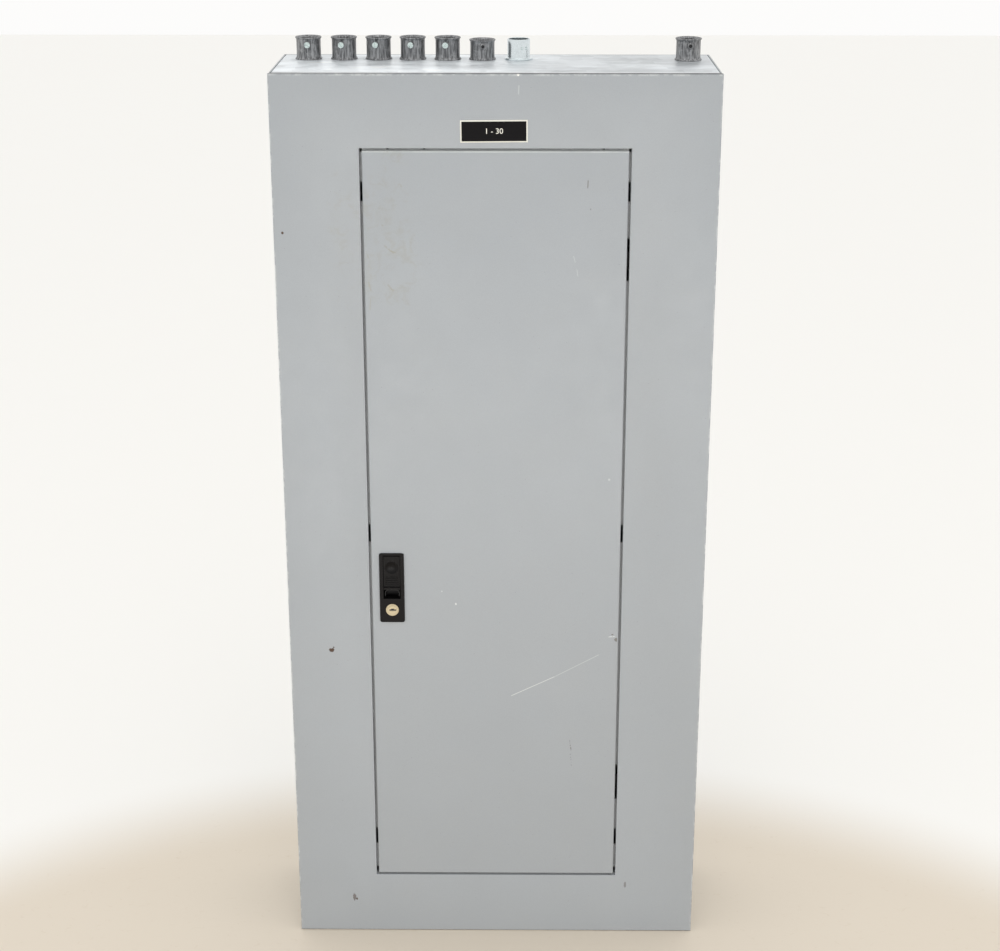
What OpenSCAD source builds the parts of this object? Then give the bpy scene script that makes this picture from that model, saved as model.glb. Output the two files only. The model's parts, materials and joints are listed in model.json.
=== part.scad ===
// Surface-mounted circuit breaker panel with a hinged, lockable trim door, a dished dead front,
// a thirty-space interior and eight conduit connectors on its top end wall.
// +X is right, +Y is towards the wall and +Z is up. The origin is the centre of the box's base.

/* [Box] */
// Width of the steel box
box_w = 508; // [500:1:520]
// Height of the steel box
box_h = 1117.6; // [1110:0.1:1125]
// Depth of the steel box, from its front flange to the wall
box_d = 146; // [140:1:160]
// Sheet thickness of the box
box_t = 1.5; // [1.2:0.1:1.8]
// Width of the box's inward front flange
box_lip = 19; // [15:1:25]

/* [Trim and door] */
// Width of the front trim
trim_w = 510; // [508:1:514]
// Depth of the trim's outer return flange
trim_d = 9.4; // [9:0.1:12]
// Sheet thickness of the trim and the door
trim_t = 1.9; // [1.5:0.1:2]
// Width of the door opening
open_w = 309; // [306:0.5:312]
// Height of the door opening
open_h = 949.5; // [940:0.5:955]
// Gap between the door and the opening, all round
door_gap = 3; // [2.5:0.1:3.2]
// Depth of the door's return flange
door_d = 9; // [8:0.5:9]

/* [Interior] */
// Breaker spaces in each column
rows = 15; // [15:1:15]
// Height of one breaker space
pole = 19.05; // [19.05:0.05:19.05]
// Travel of a breaker handle, in degrees
toggle_deg = 40; // [30:1:44]

/* [Hidden] */
$fn = 48;
slack = 0.3;                            // general fitting clearance
mid_z = box_h / 2;
back_y = box_d / 2;                     // outer face of the back wall
front_y = -box_d / 2;                   // front face of the box's flange
face_y = front_y - trim_d - 0.1;        // front face of the trim and of the door
jamb_d = 12.5;                          // depth of the jamb behind the face
lip_w = 8;                              // width of the lip that closes the gap behind the door
lip_y = face_y + jamb_d;                // rear face of that lip
door_w = open_w - 2 * door_gap;
door_h = open_h - 2 * door_gap;
door_in_y = face_y + trim_t;            // inner face of the door's sheet

// Places of features up the height, measured from the middle of the box
hinge_up = 343;                         // hinges above and below the middle
hinge_slot_h = 50;
slot_up = 423;                          // lanced slots above and below the middle
slot_h = 23;
ear_off = 22;                           // from a slot to the ear that carries the trim screw
ear_x = 140;
ear_z = [mid_z + slot_up - ear_off, mid_z + ear_off, mid_z - slot_up + ear_off];

// Hinge, seen from above: the pin stands behind the trim, outboard of the jamb
pivot_x = open_w / 2 + 8;
pivot_y = face_y + 6;
knuckle_r = 3.6;
pin_r = 1.5;
knuckle_h = 44;                         // height of the whole hinge barrel
mid_knuckle_h = 19;                     // height of the door's knuckle
neck_r = 12;                            // mean radius of the gooseneck
neck_t = 2;
web_a = 80;                             // angle at which the gooseneck leaves its knuckle
leg_x = 16;                             // outer face of the gooseneck's leg, inboard of the pin

// Latch and lock, on the door
latch_x = -127;
latch_w = 30.3;
latch_z = 490.8;
latch_h = 91.6;
latch_proud = 2;                        // how far the escutcheon stands out of the door
latch_back_y = lip_y;                   // rear face of the latch housing
track_w = 20.8;
track_lo = 476.5;
track_hi = 534;
slide_lo = 489;
slide_h = 43.5;
slide_travel = 10;
bolt_travel = 8;
bolt_y = lip_y + 0.5;
bolt_t = 2;
drive_z = 503;                          // height of the slide's drive pin
drive_r = 2;
key_z = 461.7;
barrel_r = 7.9;
plug_r = 5.7;
cam_len = 25;

// Conduit connectors, left to right: place, body height and the way that the set screw faces
conn_x = [-220.5, -178.8, -138.2, -98, -57, -16.2, 26.4, 225];
conn_y = [36, 36, 36, 36, 34, 34, 33, 30];
conn_h = [27, 27, 27, 27, 27, 24.3, 24, 26.5];
conn_turn = [0, -7, -9, -6, -7, 3, 26, 4];
steel_one = 6;                          // index of the plated steel connector
emt_r = 11.95;                          // socket for 3/4 inch thin-wall conduit
emt_depth = 20;
throat_r = 10.3;
hub_r = 13.1;
knock_r = 14.15;
boss_up = 18;                           // height of the set screw above the box

// Interior
pan_y = back_y - box_t - 20;            // rear face of the interior pan
pan_t = 2;
pan_w = 260;
pan_lo = 110;
pan_hi = 1008;
pan_front = pan_y - pan_t;
stud_x = 95;
stud_z = [180, 965];
dead_t = 1.5;
dead_y = -42;                           // front face of the dead front's floor
dead_w = 300;
dead_h = 940.6;
dead_wall = 24;                         // how far its walls come forward
post_x = 120;
post_z = [130, 740, 990];
bank_top = 720;                         // top of the branch breaker bank
case_front = dead_y + dead_t + 1;
case_back = 17;
case_in = 12;                           // inner end of a branch breaker
case_out = 86;
nose_in = 38;
nose_out = 74;
nose_y = dead_y - 6;
toggle_x = 56;
toggle_y = -41.5;
drum_r = 7;
lever_len = 17;
lean = toggle_deg / 2;                  // a handle leans this far each way
// Branch breakers: side (-1 left, 1 right), first row and number of poles
breakers = [[-1, 0, 3], [-1, 3, 3], [-1, 6, 3], [-1, 9, 2], [-1, 11, 1],
            [1, 0, 3], [1, 3, 3], [1, 6, 2], [1, 8, 1]];
blanks = [[-1, 12, 3], [1, 9, 6]];      // empty spaces: side, first row, how many
bus_x = [-38, 0, 38];
bus_w = 25;
bus_t = 3.2;
bus_y = 24;                             // front face of the vertical bus bars
strap_y = 20;
main_w = 114;
main_lo = 770;
main_h = 165;
main_back = 34;
main_z = main_lo + 102;                 // height of the main handle's pivot
main_drum_r = 10;
main_lever = 26;
bar_x = 108;                            // neutral bar on the left, ground bar on the right
bar_s = 12.7;
bar_y = 8;
term_pitch = 15.5;
neutral_n = 19;
ground_n = 10;
neutral_lo = 425;
ground_lo = 150;

// ---- helpers ----

// A block between two corners.
module block(lo, hi) {
    translate(lo) cube(hi - lo);
}

// A round bar along Y, from y0 to y1.
module rod_y(r, y0, y1, fn = $fn) {
    translate([0, y0, 0]) rotate([-90, 0, 0]) cylinder(r = r, h = y1 - y0, $fn = fn);
}

// A round bar along Z, from z0 to z1.
module rod_z(r, z0, z1) {
    translate([0, 0, z0]) cylinder(r = r, h = z1 - z0);
}

// A round bar along X, from x0 to x1.
module rod_x(r, x0, x1) {
    translate([x0, 0, 0]) rotate([0, 90, 0]) cylinder(r = r, h = x1 - x0);
}

// The children on both sides of the middle plane x = 0.
module both_sides() {
    children();
    mirror([1, 0, 0]) children();
}

// Pan-head screw along Y with its head's underside at y = 0 and its shank towards +Y.
module pan_screw(shank_r, shank_len, head_r, head_h) {
    difference() {
        union() {
            rod_y(shank_r, -head_h / 2, shank_len);
            rod_y(head_r, -head_h, 0);
        }
        for (a = [0, 90])
            rotate([0, a, 0])
                block([-head_r * 0.55, -head_h - 1, -0.5], [head_r * 0.55, -head_h * 0.45, 0.5]);
    }
}

// A rectangular frame in the XZ plane: outer size, rim width, from y0 to y1, centred on z.
module frame_xz(w, h, rim, y0, y1, z) {
    difference() {
        block([-w / 2, y0, z - h / 2], [w / 2, y1, z + h / 2]);
        block([-w / 2 + rim, y0 - 1, z - h / 2 + rim], [w / 2 - rim, y1 + 1, z + h / 2 - rim]);
    }
}

// A rectangle with round corners, centred, in the XY plane.
module round_rect(w, h, r) {
    square([w - 2 * r, h], center = true);
    square([w, h - 2 * r], center = true);
    for (x = [-1, 1], y = [-1, 1])
        translate([x * (w / 2 - r), y * (h / 2 - r)]) circle(r = r);
}

// The same rectangle standing in the XZ plane, from y0 to y1, centred on x and z.
module round_block(w, h, r, x, z, y0, y1) {
    translate([x, y1, z]) rotate([90, 0, 0]) linear_extrude(height = y1 - y0) round_rect(w, h, r);
}

// A slot with round ends between two points of the XZ plane, from y0 to y1.
module slot_xz(a, b, r, y0, y1) {
    d = b - a;
    len = norm(d);
    translate([a[0], 0, a[1]]) rotate([0, -atan2(d[1], d[0]), 0]) {
        rod_y(r, y0, y1);
        translate([len, 0, 0]) rod_y(r, y0, y1);
        block([0, y0, -r], [len, y1, r]);
    }
}

function row_z(row) = bank_top - pole * row;    // top of a breaker row

// ---- box ----

module box_wrap() color("gainsboro") {
    both_sides() difference() {
        union() {
            block([box_w / 2 - box_t, front_y, 0], [box_w / 2, back_y, box_h]);
            block([box_w / 2 - box_lip, front_y, 20], [box_w / 2, front_y + box_t, box_h - 20]);
        }
        for (z = [8, box_h - 8], y = [-45, 45])
            translate([0, y, z]) rod_x(2.2, box_w / 2 - 5, box_w / 2 + 5);
    }
}

// Back panel, welded between the sides, with the studs that the pan stands on.
module back_panel() color("gainsboro") {
    difference() {
        union() {
            block([box_t - box_w / 2, back_y - box_t, 0], [box_w / 2 - box_t, back_y, box_h]);
            both_sides() for (z = stud_z) translate([stud_x, 0, z]) {
                rod_y(6, pan_y, back_y - box_t);
                rod_y(3, pan_y - 12, back_y - box_t);
            }
        }
        both_sides() for (z = [50.8, box_h - 50.8])
            translate([203.2, 0, z]) rod_y(4, back_y - 5, back_y + 5);
    }
}

// An end wall as it sits at the bottom, with its flanges upwards.
module end_wall() {
    w = box_w - 2 * box_t - 0.4;
    rear = back_y - box_t - 0.2;
    flange = 20;
    difference() {
        union() {
            block([-w / 2, front_y, 0], [w / 2, rear, box_t]);
            block([-w / 2, rear - box_t, 0], [w / 2, rear, flange]);
            block([-w / 2, front_y, 0], [w / 2, front_y + box_t, flange - 0.5]);
            both_sides() block([w / 2 - box_t, front_y + 3, 0], [w / 2, rear - 3, flange]);
        }
        both_sides() for (y = [-45, 45]) translate([0, y, 8]) rod_x(2.2, w / 2 - 5, w / 2 + 5);
    }
}

module bottom_end_wall() color("gainsboro") end_wall();

module top_end_wall() color("gainsboro") {
    difference() {
        translate([0, 0, box_h]) mirror([0, 0, 1]) end_wall();
        for (i = [0:7]) translate([conn_x[i], conn_y[i], 0]) rod_z(knock_r, box_h - 5, box_h + 5);
    }
}

module end_wall_screws() color("silver") {
    both_sides() for (z = [8, box_h - 8], y = [-45, 45])
        translate([box_w / 2, y, z]) rotate([0, 0, 90]) pan_screw(2, 8, 4.4, 2.4);
}

// ---- trim and door ----

// Where the jamb and its lip are cut through: hinge slots on the right and lanced slots on both sides.
module jamb_cuts() {
    deep = lip_y + 1;
    for (z = [-hinge_up, hinge_up])
        block([open_w / 2 - lip_w - 1, face_y + trim_t, mid_z + z - hinge_slot_h / 2],
              [open_w / 2 + trim_t + 1, deep, mid_z + z + hinge_slot_h / 2]);
    both_sides() for (z = [-slot_up, 0, slot_up])
        block([open_w / 2 - lip_w - 1, lip_y - trim_t - 3, mid_z + z - slot_h / 2],
              [open_w / 2 + trim_t + 1, deep, mid_z + z + slot_h / 2]);
    // corner reliefs
    both_sides() for (z = [mid_z - open_h / 2, mid_z + open_h / 2 - 6])
        block([open_w / 2 - 3, lip_y - trim_t - 2, z - 0.1], [open_w / 2 + 1, deep, z + 6.1]);
    // small notches along the top lip
    for (x = [-122.7, -80.9, 123.4])
        block([x - 1.2, lip_y - trim_t - 1, mid_z + open_h / 2 - 3.4],
              [x + 1.2, deep, mid_z + open_h / 2 + 0.1]);
}

module trim_front() color("#aab2b3") {
    h = box_h - 1.2;
    difference() {
        union() {
            difference() {
                block([-trim_w / 2, face_y, mid_z - h / 2],
                      [trim_w / 2, face_y + trim_d, mid_z + h / 2]);
                block([-trim_w / 2 + trim_t, face_y + trim_t, mid_z - h / 2 + trim_t],
                      [trim_w / 2 - trim_t, face_y + trim_d + 1, mid_z + h / 2 - trim_t]);
                block([-open_w / 2, face_y - 1, mid_z - open_h / 2],
                      [open_w / 2, face_y + trim_d, mid_z + open_h / 2]);
            }
            frame_xz(open_w + 2 * trim_t, open_h + 2 * trim_t, trim_t, face_y, lip_y, mid_z);
            frame_xz(open_w + 2 * trim_t, open_h + 2 * trim_t, lip_w + trim_t,
                     lip_y - trim_t, lip_y, mid_z);
        }
        jamb_cuts();
    }
    // ears for the trim screws
    both_sides() for (z = ear_z) difference() {
        block([ear_x - 7, lip_y - trim_t, z - 8], [open_w / 2 - lip_w, lip_y, z + 8]);
        translate([ear_x, 0, z]) rod_y(2.4, lip_y - 5, lip_y + 5);
    }
}

module trim_screws() color("silver") {
    both_sides() for (z = ear_z)
        translate([ear_x, lip_y - trim_t, z]) pan_screw(2.1, dead_y + 4 - (lip_y - trim_t), 4.4, 2.4);
}

module door() color("#a6aeb0") {
    difference() {
        block([-door_w / 2, face_y, mid_z - door_h / 2], [door_w / 2, face_y + door_d, mid_z + door_h / 2]);
        block([-door_w / 2 + trim_t, door_in_y, mid_z - door_h / 2 + trim_t],
              [door_w / 2 - trim_t, face_y + door_d + 1, mid_z + door_h / 2 - trim_t]);
        block([latch_x - latch_w / 2 + 2, face_y - 1, latch_z - latch_h / 2 + 2.2],
              [latch_x + latch_w / 2 - 2, face_y + 5, latch_z + latch_h / 2 - 2.2]);
        // corner reliefs of the folded edges
        both_sides() for (z = [mid_z - door_h / 2, mid_z + door_h / 2 - 4])
            block([door_w / 2 - 4, face_y + trim_t + 1.5, z - 0.1],
                  [door_w / 2 + 1, face_y + door_d + 1, z + 4.1]);
    }
}

// ---- hinges ----

module at_hinges() {
    for (z = [-hinge_up, hinge_up]) translate([pivot_x, pivot_y, mid_z + z]) children();
}

module hinge_frame_leaves() color("dimgray") {
    leaf_y = face_y + trim_t - pivot_y;
    end_h = (knuckle_h - mid_knuckle_h) / 2 - slack;
    at_hinges() difference() {
        union() {
            block([0, leaf_y, -knuckle_h / 2], [27, leaf_y + 2, knuckle_h / 2]);
            for (z = [-knuckle_h / 2, knuckle_h / 2 - end_h]) rod_z(knuckle_r, z, z + end_h);
        }
        block([-5, leaf_y - 1, -mid_knuckle_h / 2 - slack], [knuckle_r + 1, 5, mid_knuckle_h / 2 + slack]);
        rod_z(pin_r + 0.06, -knuckle_h, knuckle_h);
        for (z = [-14, 14]) translate([19, 0, z]) rod_y(2, leaf_y - 1, leaf_y + 3);
    }
}

// Outline of the gooseneck, seen from above with the pin at the origin: a web runs back from the
// knuckle, an arc goes round the jamb, and a straight leg comes forward to the door's inner face.
function on_arc(r, a) = [r * cos(a), r * sin(a)];
function on_web(along, across) = on_arc(along, web_a) + on_arc(across, web_a + 90);
function arc_steps(r, from, to, n) = [for (i = [0:n]) on_arc(r, from + (to - from) * i / n)];

module gooseneck(leaf_y) {
    out_r = neck_r + neck_t / 2;
    in_r = neck_r - neck_t / 2;
    bend_a = 135;
    back = out_r * sin(bend_a);
    polygon(concat(
        [on_web(2, -neck_t / 2)],
        arc_steps(out_r, web_a - asin(neck_t / 2 / out_r), bend_a, 12),
        [[-leg_x, back], [-leg_x, leaf_y], [neck_t - leg_x, leaf_y], [neck_t - leg_x, back - neck_t]],
        arc_steps(in_r, 180 - asin((back - neck_t) / in_r), web_a + asin(neck_t / 2 / in_r), 12),
        [on_web(2, neck_t / 2)]));
}

module hinge_door_leaves() color("dimgray") {
    leaf_y = door_in_y - pivot_y;
    h = mid_knuckle_h;
    at_hinges() difference() {
        union() {
            rod_z(knuckle_r, -h / 2, h / 2);
            translate([0, 0, -h / 2]) linear_extrude(height = h) gooseneck(leaf_y);
            block([-43, leaf_y, -20], [-leg_x + neck_t / 2, leaf_y + 2, 20]);
        }
        rod_z(pin_r + 0.06, -knuckle_h, knuckle_h);
        for (z = [-14, 14]) translate([-33, 0, z]) rod_y(2, leaf_y - 1, leaf_y + 3);
    }
}

module hinge_pins() color("silver") {
    at_hinges() {
        rod_z(pin_r, -knuckle_h / 2 - 1, knuckle_h / 2 + 1);
        rod_z(2.6, knuckle_h / 2 + 0.2, knuckle_h / 2 + 1.4);
    }
}

// ---- latch and lock ----

module latch_housing() color("#1b1b1d") {
    plate_y = face_y - latch_proud;
    difference() {
        union() {
            round_block(latch_w, latch_h, 2.6, latch_x, latch_z, plate_y, face_y);
            block([latch_x - latch_w / 2 + 2.4, face_y - 0.5, latch_z - latch_h / 2 + 2.6],
                  [latch_x + latch_w / 2 - 2.4, latch_back_y, latch_z + latch_h / 2 - 2.6]);
        }
        // track of the slide, open in front and floored behind
        block([latch_x - track_w / 2, plate_y - 1, track_lo],
              [latch_x + track_w / 2, latch_back_y - 1.5, track_hi]);
        slot_xz([latch_x, drive_z - slide_travel], [latch_x, drive_z], drive_r + slack,
                latch_back_y - 5, latch_back_y + 1);
        translate([latch_x, 0, key_z]) rod_y(barrel_r + 0.05, plate_y - 1, latch_back_y + 1);
    }
    // rails behind the housing that guide the bolt
    for (z = [drive_z - 17, drive_z + 9.3])
        block([latch_x - 10, latch_back_y, z], [latch_x + 10, latch_back_y + 4, z + 2]);
}

module latch_slide() color("#232326") {
    plate_y = face_y - latch_proud + 1;
    hi = slide_lo + slide_h;
    difference() {
        union() {
            block([latch_x - 10, plate_y, slide_lo], [latch_x + 10, plate_y + 4, hi]);
            block([latch_x - 10, plate_y - 2.2, slide_lo], [latch_x + 10, plate_y + 1, slide_lo + 3]);
            block([latch_x - 6, plate_y + 3, drive_z - 4], [latch_x + 6, latch_back_y - 2, drive_z + 4]);
            translate([latch_x, 0, drive_z]) rod_y(drive_r, plate_y + 5, bolt_y + bolt_t + 1.5);
        }
        // thumb dish
        translate([latch_x, plate_y - 12, hi - 15]) sphere(r = 14.5);
        // finger grooves
        for (i = [0:4]) translate([0, plate_y, slide_lo + 7 + 2.4 * i]) rod_x(0.5, latch_x - 8, latch_x + 8);
    }
}

// Flat bolt with a slanted slot: as the drive pin goes down, the bolt goes left.
module latch_bolt() color("silver") {
    difference() {
        block([latch_x - 17.5, bolt_y, drive_z - 15 + slack], [latch_x + 14, bolt_y + bolt_t, drive_z + 9]);
        slot_xz([latch_x, drive_z], [latch_x + bolt_travel, drive_z - slide_travel], drive_r + slack,
                bolt_y - 1, bolt_y + bolt_t + 1);
    }
}

module lock_barrel() color("#c9b98a") {
    translate([latch_x, 0, key_z]) difference() {
        rod_y(barrel_r, face_y - latch_proud - 0.4, latch_back_y + 0.2);
        rod_y(plug_r + 0.06, face_y - 10, latch_back_y + 10);
    }
}

module lock_plug() color("#d8c48c") {
    translate([latch_x, 0, key_z]) difference() {
        union() {
            rod_y(plug_r, face_y - latch_proud - 0.6, latch_back_y + 0.45);
            block([-3, latch_back_y, -3], [3, bolt_y + bolt_t + 0.3, 3]);
            rod_y(1.8, bolt_y, bolt_y + bolt_t + 3);
        }
        block([-3.6, face_y - 5, -1], [4.8, face_y + 6, 0.8]);
        block([-1.6, face_y - 5, -1], [2, face_y + 6, 1.8]);
    }
}

// Cam arm: hangs down when unlocked and swings left behind the jamb's lip when locked.
module lock_cam() color("silver") {
    translate([latch_x, 0, key_z]) difference() {
        union() {
            rod_y(7, bolt_y, bolt_y + bolt_t);
            block([-5, bolt_y, -cam_len], [5, bolt_y + bolt_t, 0]);
        }
        block([-3.1, bolt_y - 1, -3.1], [3.1, bolt_y + bolt_t + 1, 3.1]);
    }
    translate([latch_x, 0, key_z]) difference() {
        rod_y(5.5, bolt_y + bolt_t + 0.3, bolt_y + bolt_t + 2.6, 6);
        rod_y(1.85, bolt_y, bolt_y + bolt_t + 5);
    }
}

// ---- plates on the trim and door ----

module nameplate() color("black") {
    translate([-1.5, face_y, 1053.3]) rotate([0, -0.5, 0]) block([-38.1, -1.6, -12.7], [38.1, 0, 12.7]);
}

module directory_frame() color("#c9ccc8") {
    z = 690;
    frame_xz(160, 240, 9, door_in_y, door_in_y + 1.2, z);
    for (x = [-80, 71]) block([x, door_in_y, z - 120], [x + 9, door_in_y + 1.6, z + 120]);
    block([-80, door_in_y, z - 120], [80, door_in_y + 1.6, z - 111]);
}

module directory_card() color("ivory") {
    block([-70.5, door_in_y + 0.1, 580], [70.5, door_in_y + 0.5, 800]);
}

// ---- conduit connectors ----

module at_connector(i) {
    translate([conn_x[i], conn_y[i], box_h]) children();
}

// Cast body: flared foot, slightly waisted barrel and a rolled rim, with a screw boss.
module cast_connector(h, turn) {
    body_r = 14.3;
    difference() {
        union() {
            rotate_extrude() polygon([[0, 0], [15.8, 0], [15.8, 1.4], [14.8, 3.2], [body_r, 5],
                                      [body_r, h - 3.4], [15, h - 2.2], [15.3, h - 1.2], [15, h], [0, h]]);
            rod_z(hub_r, -12, 1);
            rotate([0, 0, turn]) translate([0, 0, boss_up * h / 27]) rod_y(3.7, -15.6, -12);
        }
        rod_z(emt_r, h - emt_depth, h + 1);
        rod_z(throat_r, -13, h);
        rotate([0, 0, turn]) translate([0, 0, boss_up * h / 27]) rod_y(1.9, -20, -5);
    }
}

module die_cast_connectors() color("#8b8d8f") {
    for (i = [0:7]) if (i != steel_one) at_connector(i) cast_connector(conn_h[i], conn_turn[i]);
}

module steel_connector() color("#d5dde0") {
    h = conn_h[steel_one];
    at_connector(steel_one) difference() {
        union() {
            rod_z(13.3, 0, h);
            rod_z(16.5, 0, 2.4);
            rod_z(hub_r, -12, 1);
        }
        rod_z(emt_r, h - emt_depth, h + 1);
        rod_z(throat_r, -13, h);
        for (a = [-10, 15])
            rotate([0, 0, conn_turn[steel_one] + a]) translate([0, 0, 14]) rod_y(1.9, -20, -5);
    }
}

// Slotted set screw along Y: its point at y = tip and its head outside.
module set_screw(tip, head_y, head_r, head_h) {
    difference() {
        union() {
            rod_y(1.8, head_y, tip);
            if (head_r > 0) rod_y(head_r, head_y - head_h, head_y);
        }
        block([-5, head_y - head_h - 1, -0.5], [5, head_y - head_h + 1.1, 0.5]);
    }
}

module connector_set_screws() color("#cfe0e0") {
    for (i = [0:7]) at_connector(i) {
        up = boss_up * conn_h[i] / 27;
        if (i < 5) rotate([0, 0, conn_turn[i]]) translate([0, 0, up]) rotate([0, 30 + 25 * i, 0])
            set_screw(-12.3, -16.6, 3.5, 2);
        if (i == 5 || i == 7)
            rotate([0, 0, conn_turn[i]]) translate([0, 0, up]) set_screw(-12.3, -14.6, 0, 0);
    }
    at_connector(steel_one) for (a = [-10, 15])
        rotate([0, 0, conn_turn[steel_one] + a]) translate([0, 0, 14]) set_screw(-12.1, -13.5, 0, 0);
}

module connector_locknuts() color("#b9bdbf") {
    for (i = [0:7]) at_connector(i) difference() {
        rod_z(17.6, -box_t - 3.6, -box_t);
        rod_z(hub_r + 0.1, -10, 1);
        for (a = [0:60:300]) rotate([0, 0, a + 7 * i]) block([16, -3, -10], [20, 3, 0]);
    }
}

// ---- interior ----

module interior_pan() color("#c4c8c9") {
    difference() {
        union() {
            block([-pan_w / 2, pan_front, pan_lo], [pan_w / 2, pan_y, pan_hi]);
            both_sides() block([pan_w / 2 - pan_t, pan_front - 12, pan_lo], [pan_w / 2, pan_y, pan_hi]);
        }
        both_sides() for (z = stud_z) translate([stud_x, 0, z]) rod_y(3.3, pan_front - 5, pan_y + 5);
    }
}

module bus_supports() color("#7c2f24") {
    for (z = [425, 575, 735]) difference() {
        block([-62, bus_y + bus_t, z - 10], [62, pan_front, z + 10]);
        for (x = [-19, 19]) block([x - 5.5, bus_y, z - 11], [x + 5.5, bus_y + bus_t + 5, z + 11]);
    }
}

// A vertical bus bar, from below the bank up into the main breaker's load terminal.
module bus_bar(i) color("#b87a4b") {
    block([bus_x[i] - bus_w / 2, bus_y, 405], [bus_x[i] + bus_w / 2, bus_y + bus_t, main_lo + 16]);
}

// Cross straps, one to each row, joined in turn to the three bus bars and carrying a stab on each side.
module branch_straps() color("#b87a4b") {
    for (row = [0:rows - 1]) translate([0, 0, row_z(row) - pole / 2]) {
        block([-46, strap_y, -6], [46, strap_y + 2, 6]);
        translate([bus_x[row % 3], 0, 0]) rod_y(5, strap_y + 1, bus_y);
        both_sides() block([21, strap_y - 12, -6], [23, strap_y + 1, 6]);
    }
}

module breaker_rails() color("#c4c8c9") {
    lo = row_z(rows) - 4;
    hi = bank_top + 4;
    both_sides() difference() {
        block([78, case_back + 0.5, lo], [92, pan_front, hi]);
        block([79.5, case_back + 2, lo - 1], [90.5, pan_front + 1, hi + 1]);
    }
}

// A terminal bar: square section, a wire hole through each terminal and a screw hole across it.
module terminal_bar(n) {
    len = n * term_pitch;
    difference() {
        block([-bar_s / 2, bar_y, 0], [bar_s / 2, bar_y + bar_s, len]);
        for (i = [0:n - 1]) translate([0, 0, term_pitch * (i + 0.5)]) {
            translate([0, bar_y + bar_s / 2 + 1, 0]) rod_x(3, -bar_s, bar_s);
            rod_y(2.3, bar_y - 1, bar_y + bar_s / 2);
        }
    }
}

module terminal_row(n) {
    for (i = [0:n - 1]) translate([0, bar_y, term_pitch * (i + 0.5)]) difference() {
        rod_y(2.2, -2.6, 4.6);
        block([-3, -3.5, -0.5], [3, -1.4, 0.5]);
    }
}

module neutral_bar() color("#c9ccd0") translate([-bar_x, 0, neutral_lo]) terminal_bar(neutral_n);

module neutral_standoffs() color("#d8d4c4") {
    for (z = [20, neutral_n * term_pitch - 20]) translate([-bar_x, 0, neutral_lo + z])
        block([-9, bar_y + bar_s, -9], [9, pan_front, 9]);
}

module ground_bar() color("#c9ccd0") {
    translate([bar_x, 0, ground_lo]) {
        terminal_bar(ground_n);
        for (z = [0, ground_n * term_pitch - 10])
            block([-bar_s / 2, bar_y + bar_s - 1, z], [bar_s / 2, pan_front, z + 10]);
    }
}

// Nuts that hold the pan, and the screws of the bars and of the main lugs.
module interior_fasteners() color("silver") {
    both_sides() for (z = stud_z) translate([stud_x, 0, z]) difference() {
        rod_y(5.8, pan_front - 5, pan_front, 6);
        rod_y(3.1, pan_front - 6, pan_front + 1);
    }
    translate([-bar_x, 0, neutral_lo]) terminal_row(neutral_n);
    translate([bar_x, 0, ground_lo]) terminal_row(ground_n);
    for (x = bus_x) translate([x, 0, main_lo + main_h + 14]) difference() {
        rod_y(4.5, -12, -1);
        rod_y(2.9, -13, -7, 6);
    }
}

// Dished dead front: a tray with windows for the breakers' noses.
module deadfront() color("#9aa3a5") {
    rear = dead_y + dead_t;
    difference() {
        block([-dead_w / 2, dead_y - dead_wall, mid_z - dead_h / 2], [dead_w / 2, rear, mid_z + dead_h / 2]);
        block([-dead_w / 2 + dead_t, dead_y - dead_wall - 1, mid_z - dead_h / 2 + dead_t],
              [dead_w / 2 - dead_t, dead_y, mid_z + dead_h / 2 - dead_t]);
        both_sides() block([nose_in - 0.6, dead_y - 1, row_z(rows) - 0.4],
                           [nose_out + 0.6, rear + 1, bank_top + 0.4]);
        block([-31, dead_y - 1, main_z - 36], [31, rear + 1, main_z + 36]);
        both_sides() for (z = post_z) translate([post_x, 0, z]) rod_y(2.3, dead_y - 1, rear + 1);
        both_sides() for (z = ear_z) translate([ear_x, 0, z]) rod_y(2.3, dead_y - 1, rear + 1);
    }
}

module deadfront_posts() color("silver") {
    both_sides() for (z = post_z) translate([post_x, 0, z]) difference() {
        rod_y(5.2, dead_y + dead_t, pan_front, 6);
        rod_y(2.1, dead_y, dead_y + 16);
    }
}

module deadfront_screws() color("silver") {
    both_sides() for (z = post_z) translate([post_x, dead_y, z]) pan_screw(2, 12, 4.6, 2.6);
}

module filler_plates() color("#26262a") {
    for (b = blanks, i = [0:b[2] - 1]) {
        z = row_z(b[1] + i) - pole / 2;
        x = b[0] * (nose_in + nose_out) / 2;
        half = (nose_out - nose_in) / 2;
        block([x - half - 2, dead_y - 1.6, z - 9.3], [x + half + 2, dead_y - 0.05, z + 9.3]);
        block([x - half, dead_y - 1, z - 8.6], [x + half, dead_y + 4, z + 8.6]);
    }
}

// ---- breakers ----

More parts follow.
